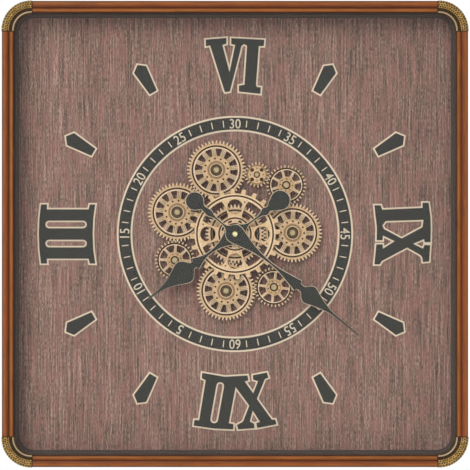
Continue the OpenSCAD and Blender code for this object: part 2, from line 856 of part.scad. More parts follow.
module large_wheel(i, bore) {
    spokes = 12;
    difference() {
        union() {
            toothed_disc(i);
            disc(large_hub_r, wheel_front - overrun, wheel_front + hub_rise);
        }
        for (k = [0:spokes - 1]) rotate([0, 0, wheel_phase(i) + (k + 0.5) * 360 / spokes]) {
            slab(wheel_back - overrun, wheel_front + overrun) {
                spoke_window(large_window_in, large_window_out, large_window_half);
            }
        }
        for (k = [0:spokes - 1]) rotate([0, 0, wheel_phase(i) + k * 360 / spokes]) {
            translate([large_dots_r, 0]) {
                disc(large_dot_r, wheel_front - 2 * engrave_depth, wheel_front + overrun);
            }
        }
        engraved_ring(large_ring_r);
        disc(large_recess_r, wheel_front - hub_recess, wheel_front + hub_rise + overrun);
        disc(bore, wheel_back - overrun, wheel_front + overrun);
    }
}

module medium_wheel(i, bore) {
    spokes = 8;
    difference() {
        union() {
            toothed_disc(i);
            disc(medium_hub_r, wheel_front - overrun, wheel_front + hub_rise / 2);
        }
        for (k = [0:spokes - 1]) rotate([0, 0, wheel_phase(i) + (k + 0.5) * 360 / spokes]) {
            slab(wheel_back - overrun, wheel_front + overrun) {
                spoke_window(medium_window_in, medium_window_out, medium_window_half);
            }
            translate([medium_dots_r, 0]) {
                disc(medium_dot_r, wheel_front - engrave_depth, wheel_front + overrun);
            }
        }
        engraved_ring(medium_ring_r);
        disc(medium_recess_r, wheel_front - hub_recess, wheel_front + hub_rise + overrun);
        disc(bore, wheel_back - overrun, wheel_front + overrun);
    }
}

module small_wheel(i, bore) {
    holes = 4;
    difference() {
        toothed_disc(i);
        for (k = [0:holes - 1]) rotate([0, 0, (k + 0.5) * 360 / holes]) translate([pinion_holes_r, 0]) {
            disc(pinion_hole_r, wheel_back - overrun, wheel_front + overrun);
        }
        engraved_ring(pinion_ring_r);
        disc(pinion_recess_r, wheel_front - hub_recess, wheel_front + overrun);
        disc(bore, wheel_back - overrun, wheel_front + overrun);
    }
}

module gear_wheel(i, bore) {
    color("burlywood") on_wall() at_wheel(i) {
        if (teeth(i) == large_teeth) large_wheel(i, bore);
        else if (teeth(i) == pinion_teeth) small_wheel(i, bore);
        else medium_wheel(i, bore);
    }
}

module wheel_right() gear_wheel(RIGHT, axle_r + running_fit);
module wheel_upper_right() gear_wheel(UPPER_RIGHT, axle_r + running_fit);
module pinion_wheel() gear_wheel(PINION, axle_r + running_fit);
module wheel_lower_left() gear_wheel(LOWER_LEFT, axle_r + running_fit);
module wheel_left() gear_wheel(LEFT, axle_r + running_fit);
module wheel_top() gear_wheel(TOP, axle_r + running_fit);
module wheel_upper_left() gear_wheel(UPPER_LEFT, axle_r + running_fit);
module drive_wheel() gear_wheel(DRIVE, drive_arbor_r);

function head_r(i) = teeth(i) == large_teeth ? large_head_r
    : teeth(i) == pinion_teeth ? pinion_head_r : medium_head_r;

head_dome_share = 0.4;

module axle_head(r, from) {
    dome = head_h * head_dome_share;
    disc(r, from, from + head_h - dome);
    translate([0, 0, from + head_h - dome]) cylinder(r1 = r, r2 = r - dome, h = dome, $fn = 48);
}

module wheel_axles() {
    color("gainsboro") on_wall() for (i = FREE_WHEELS) at_wheel(i) {
        disc(axle_r, dial_back - axle_nut_h, head_back);
        axle_head(head_r(i), head_back);
    }
}

module wheel_spacers() {
    color("darkgoldenrod") on_wall() {
        for (i = FREE_WHEELS) at_wheel(i) ring(spacer_r, axle_r, dial_front, spacer_top);
        ring(sleeve_r + case_wall, sleeve_r, nut_top, spacer_top);
    }
}

module axle_nuts() {
    color("goldenrod") on_wall() for (i = FREE_WHEELS) at_wheel(i) difference() {
        translate([0, 0, dial_back - axle_nut_h]) cylinder(d = axle_nut_w, h = axle_nut_h, $fn = 6);
        disc(axle_r, dial_back - axle_nut_h - overrun, dial_back + overrun);
    }
}

// Centre wheel, crown and the sleeve that they turn on

nut_washer_r = 9;
nut_washer_h = 1;
nut_hex_w = 15;
nut_hex_h = 3;
nut_top = dial_front + nut_washer_h + nut_hex_h;
collar_front = flange_front;

module centre_sleeve() {
    color("goldenrod") on_wall() difference() {
        union() {
            disc(sleeve_r, nut_top, flange_back + overrun / 2);
            disc(flange_r, flange_back, flange_front);
        }
        disc(collar_r + seat_fit, nut_top - overrun, flange_front + overrun);
    }
}

centre_window_turn = 14;

module centre_window() {
    polygon(rounded(concat(
        arc_points(centre_window_out, -centre_window_turn, centre_window_turn, 6),
        arc_points(centre_window_in, centre_window_turn, -centre_window_turn, 5)
    ), window_round, 2));
}

module centre_wheel() {
    windows = 6;
    color("burlywood") on_wall() difference() {
        union() {
            toothed_disc(CENTRE);
            disc(crown_boss_r, wheel_front - overrun, crown_back);
        }
        for (k = [0:windows - 1]) rotate([0, 0, k * 360 / windows]) {
            slab(wheel_back - overrun, wheel_front + overrun) centre_window();
        }
        engraved_ring(large_ring_r);
        disc(sleeve_r + running_fit, wheel_back - overrun, crown_back + overrun);
    }
}

crown_teeth = 24;
crown_phase = 3.2;
// Half width of a crown arm along its length, as shares of the root radius
arm_shares = [[0.425, 0.172], [0.48, 0.168], [0.58, 0.196], [0.68, 0.234], [0.77, 0.275], [0.85, 0.33]];
crown_slot_len = 4.4;
crown_slot_w = 2;
crown_window_round = 3.4;
pip_turn = 17;

function crown_points() =
    let (
        top_r = crown_root_r + crown_tooth_h,
        foot_turn = arc_angle(crown_foot_w / 2, crown_root_r),
        top_turn = arc_angle(crown_top_w / 2, top_r)
    )
    [for (k = [0:crown_teeth - 1]) let (a = crown_phase + k * 360 / crown_teeth) each [
        polar(crown_root_r, a - foot_turn),
        polar(top_r, a - top_turn),
        polar(top_r, a + top_turn),
        polar(crown_root_r, a + foot_turn),
        polar(crown_root_r, a + 180 / crown_teeth)
    ]];

// Point on the side of a crown arm, from its shares of the root radius
function arm_point(share, half_share, r) = [sqrt(pow(share, 2) - pow(half_share, 2)) * r, half_share * r];

// One large window of the crown, between the arms along x and y
module crown_window() {
    side = [for (p = arm_shares) arm_point(p[0], p[1], crown_root_r)];
    low = asin(side[0][1] / crown_window_in);
    high = asin(side[len(side) - 1][1] / crown_window_out);
    polygon(rounded(concat(
        side,
        arc_points(crown_window_out, high, quarter_turn - high, 6),
        [for (i = [len(side) - 1:-1:0]) [side[i][1], side[i][0]]],
        arc_points(crown_window_in, quarter_turn - low, low, 4)
    ), crown_window_round, 2));
}

module crown_groove(r, w) {
    ring(r + w / 2, r - w / 2, crown_front - engrave_depth, crown_front + overrun);
}

module centre_crown() {
    color("burlywood") on_wall() difference() {
        slab(crown_back, crown_front) polygon(crown_points());
        for (turn = [0:90:270]) rotate([0, 0, turn]) {
            slab(crown_back - overrun, crown_front + overrun) crown_window();
            translate([crown_port_at, 0]) disc(crown_port_r, crown_back - overrun, crown_front + overrun);
            translate(polar(crown_pips_r, -pip_turn)) {
                disc(crown_pip_r, crown_front - engrave_depth, crown_front + overrun);
            }
        }
        for (k = [0:7]) rotate([0, 0, (k + 0.5) * 45]) {
            slab(crown_front - engrave_depth, crown_front + overrun) {
                translate([crown_slots_r, 0]) square([crown_slot_w, crown_slot_len], center = true);
            }
        }
        crown_groove(crown_ring_r, engrave_w);
        crown_groove(crown_hub_ring_r, engrave_w * 0.8);
        crown_groove(crown_inner_ring_r, engrave_w * 0.8);
        disc(sleeve_r + running_fit, crown_back - overrun, crown_front + overrun);
    }
}

// Hands. Each row is a place along the hand, as a share of its length from the axis,
// and the half width there, as a share of the leaf's half width.

minute_shares = [
    [-0.262, 0.22], [-0.243, 0.24], [-0.225, 0.31], [-0.2, 0.33], [-0.183, 0.17],
    [-0.16, 0.08], [-0.1, 0.07], [-0.077, 0.1], [-0.062, 0.26], [-0.05, 0.5], [-0.036, 0.79],
    [-0.02, 0.93], [-0.003, 0.975], [0.016, 0.94], [0.05, 0.77], [0.1, 0.53], [0.15, 0.305],
    [0.2, 0.19], [0.25, 0.115], [0.3, 0.085], [0.35, 0.13], [0.4, 0.27], [0.45, 0.43],
    [0.498, 0.6], [0.506, 0.622], [0.508, 0.625], [0.514, 0.35], [0.525, 0.31], [0.54, 0.31], [0.552, 0.37],
    [0.563, 0.62], [0.575, 0.82], [0.588, 0.96], [0.602, 1], [0.618, 0.94], [0.65, 0.7],
    [0.7, 0.42], [0.75, 0.2], [0.79, 0.1], [0.85, 0.06], [0.99, 0.04], [1, 0.02]
];
hour_shares = [
    [-0.423, 0.47], [-0.405, 0.28], [-0.385, 0.195], [-0.37, 0.26], [-0.35, 0.35], [-0.333, 0.3],
    [-0.31, 0.16], [-0.275, 0.07], [-0.2, 0.055], [-0.15, 0.07], [-0.125, 0.17], [-0.1, 0.33],
    [-0.07, 0.53], [-0.035, 0.71], [0, 0.76], [0.035, 0.72], [0.09, 0.56], [0.13, 0.36],
    [0.165, 0.24], [0.2, 0.17], [0.24, 0.115], [0.28, 0.09], [0.315, 0.1], [0.35, 0.15],
    [0.39, 0.27], [0.43, 0.42], [0.45, 0.505], [0.455, 0.518], [0.457, 0.52], [0.464, 0.29], [0.475, 0.27],
    [0.495, 0.3], [0.512, 0.5], [0.53, 0.72], [0.55, 0.89], [0.572, 0.98], [0.6, 1],
    [0.64, 0.84], [0.68, 0.64], [0.72, 0.46], [0.76, 0.31], [0.8, 0.19], [0.84, 0.11],
    [0.88, 0.065], [0.99, 0.035], [1, 0.015]
];
hand_smooth = 60;
disc_start = 172;
minute_disc_end = 28;
hour_disc_end = 44;
minute_collet_r = 4;
hour_collet_r = 4.6;
collet_gap = 0.8;

// Outline of a hand that points along x; grow widens it all round
function hand_points(shares, length, half_w, tail, disc_r, disc_end, grow) =
    let (
        side = concat(
            [for (p = arc_points(disc_r + grow, disc_start, disc_end, 8)) [-tail, 0] + p],
            [for (p = shares) [p[0] * length, p[1] * half_w + grow]]
        )
    )
    rounded(concat(side, mirrored(side)), hand_smooth, 2);

module hand_layers(back, shares, length, half_w, tail, disc_r, disc_end) {
    slab(back, back + rim_thick) {
        polygon(hand_points(shares, length, half_w, tail, disc_r, disc_end, hand_rim));
    }
    slab(back + rim_thick, back + hand_thick) {
        polygon(hand_points(shares, length, half_w, tail, disc_r, disc_end, 0));
    }
}

module hour_hand() {
    color("#464644") on_wall() rotate([0, 0, 90 - hour_angle]) difference() {
        union() {
            hand_layers(hour_back, hour_shares, hour_len, hour_half_w,
                hour_tail, hour_disc_r, hour_disc_end);
            disc(hour_collet_r, flange_front + collet_gap, hour_back);
        }
        disc(hour_tube_r, flange_front, hour_front + overrun);
    }
}

module minute_hand() {
    color("#464644") on_wall() rotate([0, 0, 90 - minute_angle]) difference() {
        union() {
            hand_layers(minute_back, minute_shares, minute_len, minute_half_w,
                minute_tail, minute_disc_r, minute_disc_end);
            disc(minute_collet_r, hour_front + collet_gap, minute_back);
        }
        disc(minute_arbor_r, hour_front, minute_front + overrun);
    }
}

module hand_nut() {
    color("palegoldenrod") on_wall() difference() {
        dome = hand_nut_h * head_dome_share;
        union() {
            disc(hand_nut_r, minute_front, nut_front - dome);
            translate([0, 0, nut_front - dome]) {
                cylinder(r1 = hand_nut_r, r2 = hand_nut_r - dome, h = dome, $fn = 48);
            }
        }
        disc(minute_arbor_r, minute_front - overrun, nut_front - dome);
    }
}

// Movement behind the dial

case_front = dial_back;
case_inner = case_front - case_wall;
cover_front = case_back + case_wall;
movement_half = movement_w / 2;
movement_low = -movement_half - movement_shift;
movement_high = movement_half - movement_shift;
cell_at = movement_low + case_wall + cell_r + end_play;
partition_at = cell_at + cell_r + end_play;
cell_mid = case_inner - cell_r - end_play;
cell_nub_r = 2.6;
cell_nub = 1;
contact_thick = 0.5;
contact_w = 9;
hour_tube_r = minute_arbor_r + running_fit + hour_tube_wall;
cannon_teeth = 12;
motion_teeth = 36;
motion_pinion_teeth = 10;
hour_wheel_teeth = 40;
motion_direction = 45;
motion_at = axle_distance(motion_module, cannon_teeth, motion_teeth);
pair_module = 2 * motion_at / (motion_pinion_teeth + hour_wheel_teeth);
motion_arbor_r = 1.2;
post_wall = 1.8;
gear_face = 2;
gear_room = 5;
hour_wheel_back = case_inner - gear_room;
motion_back = hour_wheel_back - gear_face - collet_gap - gear_face / 4;
motion_phase = meshing_phase(motion_teeth, cannon_teeth, 0, motion_direction);
hour_phase = meshing_phase(hour_wheel_teeth, motion_pinion_teeth, 0, motion_direction + 180);
collar_flange_r = 5;
knob_ridges = 24;
knob_reach = 4;
knob_back = case_back - knob_reach;
knob_front = case_back - end_play;
knob_ridge = 0.5;

module at_motion() translate(polar(motion_at, motion_direction)) children();

module movement_case() {
    color("dimgray") on_wall() difference() {
        union() {
            block([-movement_half, movement_low, case_back], [movement_half, movement_high, case_front]);
        }
        block([-movement_half + case_wall, partition_at + case_wall, case_back - overrun],
            [movement_half - case_wall, movement_high - case_wall, case_inner - post_wall]);
        difference() {
            block([-movement_half + case_wall, partition_at + case_wall, case_inner - post_wall - overrun],
                [movement_half - case_wall, movement_high - case_wall, case_inner]);
            at_motion() disc(motion_arbor_r + post_wall, case_back, case_front);
        }
        block([-movement_half + case_wall, movement_low + case_wall, case_back - overrun],
            [movement_half - case_wall, partition_at, case_inner]);
        at_motion() disc(motion_arbor_r + running_fit, case_back, case_inner);
        disc(collar_r, case_back, case_front + overrun);
    }
}

module movement_cover() {
    low = partition_at + case_wall + seat_fit;
    high = movement_high - case_wall - seat_fit;
    half = movement_half - case_wall - seat_fit;
    color("gray") on_wall() difference() {
        union() {
            block([-half, low, case_back], [half, high, cover_front]);
            disc(minute_arbor_r + post_wall, cover_front - overrun / 2, cover_front + gear_face);
        }
        disc(minute_arbor_r + running_fit, cover_front, cover_front + gear_face + overrun);
        at_motion() disc(motion_arbor_r + running_fit, case_back - overrun, cover_front + overrun);
    }
}

module movement_collar() {
    color("goldenrod") on_wall() difference() {
        union() {
            disc(collar_flange_r, case_inner - case_wall, case_inner);
            disc(collar_r, case_inner - overrun / 2, collar_front);
        }
        disc(hour_tube_r + running_fit, case_inner - case_wall - overrun, collar_front + overrun);
    }
}

module movement_nut() {
    color("goldenrod") on_wall() difference() {
        union() {
            disc(nut_washer_r, dial_front, dial_front + nut_washer_h);
            translate([0, 0, dial_front + nut_washer_h]) cylinder(d = nut_hex_w, h = nut_hex_h, $fn = 6);
        }
        disc(collar_r, dial_front - overrun, nut_top + overrun);
    }
}

module minute_arbor() {
    color("gold") on_wall() {
        disc(minute_arbor_r, cover_front + end_play, nut_front - hand_nut_h * head_dome_share);
        slab(motion_back, motion_back + gear_face + gear_face / 4) {
            polygon(gear_points(cannon_teeth, motion_module, motion_play, 0));
        }
    }
}

module hour_wheel() {
    color("ivory") on_wall() difference() {
        union() {
            slab(hour_wheel_back, hour_wheel_back + gear_face) {
                polygon(gear_points(hour_wheel_teeth, pair_module, motion_play, hour_phase));
            }
            disc(hour_tube_r, hour_wheel_back, hour_front + end_play);
        }
        disc(minute_arbor_r + running_fit, hour_wheel_back - overrun, hour_front + end_play + overrun);
    }
}

module motion_wheel() {
    color("ivory") on_wall() at_motion() {
        disc(motion_arbor_r, knob_back + overrun, case_inner - end_play);
        slab(motion_back, motion_back + gear_face) {
            polygon(gear_points(motion_teeth, motion_module, motion_play, motion_phase));
        }
        slab(motion_back + gear_face, hour_wheel_back + gear_face + gear_face / 4) {
            polygon(gear_points(motion_pinion_teeth, pair_module, motion_play, 0));
        }
    }
}

module set_knob() {
    color("red") on_wall() at_motion() difference() {
        slab(knob_back, knob_front) polygon([for (k = [0:2 * knob_ridges - 1])
            polar(knob_r - (k % 2) * knob_ridge, k * 180 / knob_ridges)]);
        disc(motion_arbor_r, knob_back + overrun, knob_front + overrun);
    }
}

coil_r = 4.5;
coil_len = 15;
coil_gap = 1;
flange_w = 1.5;

module step_motor() {
    x0 = -movement_half + case_wall + coil_gap;
    y0 = movement_high - case_wall - coil_r - 2 * coil_gap;
    color("peru") on_wall() translate([x0, y0, case_inner - coil_r - coil_gap]) {
        rotate([0, 90, 0]) cylinder(r = coil_r, h = coil_len);
        for (x = [-flange_w + coil_gap / 2, coil_len]) translate([x, -coil_r - coil_gap, -coil_r]) {
            cube([flange_w, 2 * (coil_r + coil_gap), 2 * coil_r + coil_gap]);
        }
    }
}

board_w = 15;
board_h = 16;
board_thick = 1.2;
chip_w = 5;

module movement_board() {
    x0 = -movement_half + case_wall + coil_gap;
    y0 = partition_at + case_wall + coil_gap;
    color("darkgreen") on_wall() {
        block([x0, y0, case_inner - board_thick], [x0 + board_w, y0 + board_h, case_inner]);
        block([x0 + chip_w, y0 + chip_w, case_inner - 2 * board_thick],
            [x0 + 2 * chip_w, y0 + 2 * chip_w, case_inner - board_thick]);
    }
}

// A cell lies along x, with its nub at the right, between two leaf contacts
module cell_body() {
    rotate([0, 90, 0]) {
        translate([0, 0, -cell_len / 2]) cylinder(r = cell_r, h = cell_len);
        translate([0, 0, cell_len / 2 - overrun / 2]) cylinder(r = cell_nub_r, h = cell_nub + overrun / 2);
    }
}

module contact_pair(inner_half) {
    nub_end = cell_len / 2 + cell_nub;
    for (face = [[nub_end, inner_half], [-inner_half, -cell_len / 2]]) {
        block([face[0], -contact_w / 2, -contact_w / 2], [face[1], contact_w / 2, contact_w / 2]);
    }
}

module at_cells() {
    translate([0, cell_at, cell_mid]) children();
    translate(concat(wheel_at(DRIVE), [cell_mid])) {
        for (row = [0, 1]) translate([0, drive_cell_low + row * drive_cell_pitch, 0]) children();
    }
}

module battery_cells() {
    color("steelblue") on_wall() at_cells() cell_body();
}

module battery_contacts() {
    color("silver") on_wall() {
        translate([0, cell_at, cell_mid]) contact_pair(movement_half - case_wall);
        translate(concat(wheel_at(DRIVE), [cell_mid])) {
            for (row = [0, 1]) translate([0, drive_cell_low + row * drive_cell_pitch, 0]) {
                contact_pair(drive_half - case_wall);
            }
        }
    }
}

// Gear drive box behind the dial, in coordinates about the drive wheel's axle

drive_arbor_r = 2.5;
drive_clearance = 0.5;
drive_half = drive_w / 2;
drive_top = drive_arbor_drop;
drive_low = drive_top - drive_h;
drive_cell_low = drive_low + case_wall + cell_r + end_play;
drive_cell_pitch = 2 * cell_r + end_play;
drive_wall_at = drive_cell_low + drive_cell_pitch + cell_r + end_play;
motor_half = 13;
motor_depth = 11;
motor_gap = 0.6;
ear_reach = 9;
ear_h = 12;
ear_thick = 2.5;
ear_back = dial_back - ear_thick;
ear_screw_len = 7.5;
slider_w = 14;
slider_h = 8;
slider_thick = 1.2;
slider_knob = 4;
slider_x = -26;
slider_y = 4;
slot_play = 0.3;

module at_drive() translate(wheel_at(DRIVE)) children();

module at_drive_ears() at_drive() for (side = [-1, 1], y = [drive_top - ear_h / 2, drive_low + ear_h / 2]) {
    translate([side * (drive_half + ear_reach / 2), y]) children();
}

module drive_case() {
    color("dimgray") on_wall() difference() {
        at_drive() {
            block([-drive_half, drive_low, case_back], [drive_half, drive_top, case_front]);
            for (y = [drive_top - ear_h, drive_low]) {
                block([-drive_half - ear_reach, y, ear_back],
                    [drive_half + ear_reach, y + ear_h, case_front]);
            }
        }
        at_drive() {
            block([-drive_half + case_wall, drive_low + case_wall, case_back - overrun],
                [drive_half - case_wall, drive_wall_at, case_inner]);
            block([-drive_half + case_wall, drive_wall_at + case_wall, case_back - overrun],
                [drive_half - case_wall, drive_top - case_wall, case_inner]);
            block([-drive_half + case_wall, drive_wall_at - overrun, case_back - overrun],
                [drive_half - case_wall, drive_wall_at + case_wall + overrun, cover_front]);
            disc(drive_arbor_r + drive_clearance, case_back, case_front + overrun);
        }
        at_drive_ears() disc(screw_r, ear_back - overrun, case_front + overrun);
    }
}

module drive_cover() {
    half = drive_half - case_wall - seat_fit;
    slot_low = [slider_x - slider_knob / 2 - slot_play, slider_y - slider_knob / 2 - slot_play];
    slot_end = slider_x + slider_knob / 2 + slot_play + switch_travel;
    slot_high = [slot_end, slider_y + slider_knob / 2 + slot_play];
    color("gray") on_wall() at_drive() difference() {
        block([-half, drive_low + case_wall + seat_fit, case_back],
            [half, drive_top - case_wall - seat_fit, cover_front]);
        block(concat(slot_low, [case_back - overrun]), concat(slot_high, [cover_front + overrun]));
    }
}

module switch_slider() {
    back = cover_front + end_play / 2;
    // The plate under the cover keeps the knob in, at both ends of the travel
    x0 = slider_x + switch_travel / 2 - slider_w / 2;
    color("white") on_wall() at_drive() {
        block([x0, slider_y - slider_h / 2, back], [x0 + slider_w - switch_travel, slider_y + slider_h / 2,
            back + slider_thick]);
        block([slider_x - slider_knob / 2, slider_y - slider_knob / 2, case_back - slider_thick],
            [slider_x + slider_knob / 2, slider_y + slider_knob / 2, back]);
    }
}

module gear_motor() {
    color("silver") on_wall() at_drive() difference() {
        block([-motor_half, drive_wall_at + case_wall + motor_gap, case_inner - motor_depth],
            [motor_half, drive_top - case_wall - motor_gap, case_inner]);
        disc(drive_arbor_r + running_fit, case_inner - motor_depth * 0.8, case_inner + overrun);
    }
}

module drive_arbor() {
    seat = wheel_front - hub_recess;
    color("gainsboro") on_wall() at_drive() {
        disc(drive_arbor_r, case_inner - motor_depth * 0.75, seat + overrun / 2);
        disc(spacer_r, dial_front + end_play, wheel_back);
        axle_head(large_head_r, seat);
    }
}

rail_top();
rail_bottom();
rail_left();
rail_right();
casting_upper_left();
casting_upper_right();
casting_lower_left();
casting_lower_right();
corner_braces();
hanger_batten();
hanger_plate();
wood_screws();
wall_bumpers();
front_glass();
glass_liner();
dial_panel();
dial_outlines();
minute_track();
minute_ticks();
numeral_xii();
numeral_iii();
numeral_vi();
numeral_ix();
hour_batons();
wheel_spacers();
wheel_axles();
axle_nuts();
centre_sleeve();
centre_wheel();
centre_crown();
drive_wheel();
drive_arbor();
wheel_right();
wheel_upper_right();
pinion_wheel();
wheel_lower_left();
wheel_left();
wheel_top();
wheel_upper_left();
hour_hand();
minute_hand();
hand_nut();
minute_arbor();
hour_wheel();
motion_wheel();
set_knob();
movement_case();
movement_cover();
movement_collar();
movement_nut();
step_motor();
movement_board();
battery_contacts();
battery_cells();
drive_case();
drive_cover();
gear_motor();
switch_slider();
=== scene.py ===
# %% [markdown]
# # A square wall clock with an open gear train
#
# This lesson dresses a clock whose frame, gears, hands and movement already exist as exact solids.
# The clock hangs on a wall: +Z is up, the dial faces -Y, and the origin is the seat of the keyhole
# that it hangs from. All lengths are in metres.
#
# The solids carry the shapes. What is left for Blender is what the eye reads first: stained wood,
# antique brass with a pebbled surface, burnt lines on the wheels, the printed numbers, the glass
# and the light. Some shade and highlights are also painted into the colours of the moulding, the
# brass corners and the wheels.

# %% Load the solids
import math

import bmesh
import bpy
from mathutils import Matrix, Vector, noise


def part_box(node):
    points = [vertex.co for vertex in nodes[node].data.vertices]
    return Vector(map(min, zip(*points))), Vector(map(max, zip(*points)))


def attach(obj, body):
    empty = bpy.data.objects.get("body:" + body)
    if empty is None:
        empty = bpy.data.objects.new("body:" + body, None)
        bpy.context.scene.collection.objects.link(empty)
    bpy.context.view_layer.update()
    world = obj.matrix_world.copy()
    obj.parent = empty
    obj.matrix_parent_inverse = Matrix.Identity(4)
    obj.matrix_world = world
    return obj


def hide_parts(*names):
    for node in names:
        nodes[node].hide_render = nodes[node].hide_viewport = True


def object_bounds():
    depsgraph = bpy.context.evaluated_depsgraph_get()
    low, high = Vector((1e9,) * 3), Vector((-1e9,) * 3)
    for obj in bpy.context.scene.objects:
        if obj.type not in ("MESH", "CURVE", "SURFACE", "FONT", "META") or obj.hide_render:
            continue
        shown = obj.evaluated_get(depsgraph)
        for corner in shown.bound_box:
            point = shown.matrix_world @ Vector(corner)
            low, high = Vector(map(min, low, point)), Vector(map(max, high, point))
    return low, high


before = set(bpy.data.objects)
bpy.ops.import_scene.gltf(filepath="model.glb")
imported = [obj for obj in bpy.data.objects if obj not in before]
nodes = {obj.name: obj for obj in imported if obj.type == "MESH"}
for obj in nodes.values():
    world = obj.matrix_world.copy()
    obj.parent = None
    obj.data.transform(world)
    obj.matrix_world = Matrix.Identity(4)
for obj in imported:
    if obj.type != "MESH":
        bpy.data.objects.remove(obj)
solid_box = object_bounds()

# %% [markdown]
# The dial has its own centre, the axis of the hands, which lies 203 mm below the hanging point.
# Nearly every pattern on this clock is round that axis or round the axle of a wheel, so the places
# of the axles are worked out first, in the plane of the dial.

# %% Places on the dial
HANG_RISE = 0.203
DEPTH = 0.070
OUTER_HALF = 0.300
TEETH = {"centre_wheel": 48, "drive_wheel": 48, "wheel_right": 48, "wheel_upper_right": 32,
         "pinion_wheel": 20, "wheel_lower_left": 32, "wheel_left": 48, "wheel_top": 48,
         "wheel_upper_left": 32}


def on_dial(x, up, out):
    """A point given by its place on the dial and its distance from the wall."""
    return Vector((x, -out, up - HANG_RISE))


def node_centre(name):
    """The middle of a solid's box, which for a wheel lies on its axle."""
    low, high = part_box(name)
    return (low + high) / 2


wheel_axes = {name: node_centre(name) for name in TEETH}
for name, place in wheel_axes.items():
    print(name, [round(c, 4) for c in place])

# %% [markdown]
# ## Camera
#
# The photograph was taken straight on, from a few metres away, and shows the clock upside down,
# with XII at the bottom. The camera therefore looks along +Y at the middle of the clock and is
# rolled by half a turn. Its distance and lens were chosen so that the frame just fills the picture,
# and a shift by one pixel of the picture centres the frame as in the photograph.

# %% The camera
SENSOR_WIDTH = 36
CAMERA_DISTANCE = 2.5
PICTURE_PIXELS = 470
PIXEL_ON_FRONT = 0.001283


def put_in_scene(name, data):
    """A new object that holds the data, in the scene's own collection."""
    thing = bpy.data.objects.new(name, data)
    bpy.context.scene.collection.objects.link(thing)
    return thing


camera_data = bpy.data.cameras.new("picture_camera")
camera_data.sensor_width = SENSOR_WIDTH
camera_data.lens = SENSOR_WIDTH * (CAMERA_DISTANCE - DEPTH) / (PICTURE_PIXELS * PIXEL_ON_FRONT)
camera_data.shift_y = -1 / PICTURE_PIXELS
camera_data.clip_end = 50
camera = put_in_scene("picture_camera", camera_data)
camera.location = on_dial(0, 0, CAMERA_DISTANCE)
camera.rotation_euler = (math.radians(90), math.radians(180), 0)
bpy.context.scene.camera = camera
print("lens", round(camera_data.lens, 1), "mm at", CAMERA_DISTANCE, "m")

# %% [markdown]
# ## Light, floor and background
#
# In the photograph the frame throws a soft shadow on the dial along two of its edges, so there is
# one broad lamp on that side, and an even light all round. A sun lamp with a wide angle gives the
# same soft shadow everywhere on the dial. The white background is only what the camera and the
# reflections see; the object itself is lit at a plain level, so that colours show as written.

# %% The lamp
LAMP_STRENGTH = 1.25
LAMP_ANGLE = math.radians(36)
TOWARD_LAMP = Vector((0.45, -1.0, -0.55))

lamp_data = bpy.data.lights.new("broad_lamp", "SUN")
lamp_data.energy = LAMP_STRENGTH
lamp_data.angle = LAMP_ANGLE
lamp = put_in_scene("broad_lamp", lamp_data)
lamp.rotation_euler = TOWARD_LAMP.to_track_quat("Z", "Y").to_euler()
print("lamp shines from", [round(c, 2) for c in TOWARD_LAMP])

# %% [markdown]
# The world and all the materials are built from nodes. Two helpers keep that short: one adds a node
# and wires it in one line, the other does sums, with names of their own for the three common ones.

# %% Adding nodes
def add(tree, kind, links=None, **settings):
    """Adds a node, sets its properties, and feeds its inputs from values or other sockets."""
    node = tree.nodes.new(kind)
    for key, value in settings.items():
        setattr(node, key, value)
    for key, source in (links or {}).items():
        socket = node.inputs[key]
        if isinstance(source, bpy.types.NodeSocket):
            tree.links.new(source, socket)
        else:
            socket.default_value = source
    return node


def math_node(tree, operation, *values, clamp=False):
    """The result of a sum, with numbers or other sockets as its values."""
    return add(tree, "ShaderNodeMath", dict(enumerate(values)), operation=operation,
               use_clamp=clamp).outputs[0]


def plus(tree, a, b, clamp=False):
    return math_node(tree, "ADD", a, b, clamp=clamp)


def minus(tree, a, b, clamp=False):
    return math_node(tree, "SUBTRACT", a, b, clamp=clamp)


def times(tree, a, b, clamp=False):
    return math_node(tree, "MULTIPLY", a, b, clamp=clamp)


print("helpers ready")

# %% The even light and the white background
EVEN_LIGHT = 0.68
world = bpy.data.worlds.new("studio")
bpy.context.scene.world = world
world.use_nodes = True
wt = world.node_tree
wt.nodes.clear()
even_light = add(wt, "ShaderNodeBackground", {"Color": (1.0, 0.99, 0.975, 1),
                                              "Strength": EVEN_LIGHT})
white_back = add(wt, "ShaderNodeBackground", {"Color": (1, 1, 1, 1), "Strength": 1.0})
rays = add(wt, "ShaderNodeLightPath").outputs
seen = math_node(wt, "MAXIMUM", rays["Is Camera Ray"], rays["Is Glossy Ray"])
seen = math_node(wt, "MAXIMUM", seen, rays["Is Transmission Ray"])
world_mix = add(wt, "ShaderNodeMixShader", {0: seen, 1: even_light.outputs[0],
                                            2: white_back.outputs[0]})
add(wt, "ShaderNodeOutputWorld", {"Surface": world_mix.outputs[0]})
bpy.context.scene.view_settings.view_transform = "Standard"
print("background is white, the light on the object has strength", EVEN_LIGHT)

# %% [markdown]
# The clock hangs, so the floor is a pale sheet well below it, and it ends before the camera that
# looks straight on would see it. It casts no shadow itself, because the lamp shines from below, but
# the clock still shades it from the even light.

# %% The floor
FLOOR_DROP = 0.45
FLOOR_REACH = 3.0
floor_z = solid_box[0].z - FLOOR_DROP
floor_mesh = bpy.data.meshes.new("pale_floor")
floor_mesh.from_pydata([(x * FLOOR_REACH, y * FLOOR_REACH, floor_z)
                        for x, y in ((-1, -1), (1, -1), (1, 1), (-1, 1))], [], [(0, 1, 2, 3)])
floor = put_in_scene("pale_floor", floor_mesh)
floor.visible_shadow = False
print("floor at", round(floor_z, 3))

# %% [markdown]
# ## Helpers for materials
#
# A material here is always one Principled shader whose colour, roughness and normal come from
# patterns, and whose constant looks are set on its own sockets. Colours are written as they are
# seen in a picture, from 0 to 255, and turned into the linear values that a shader needs.

# %% Starting and dressing a material
BUMP_DISTANCE = 0.0002


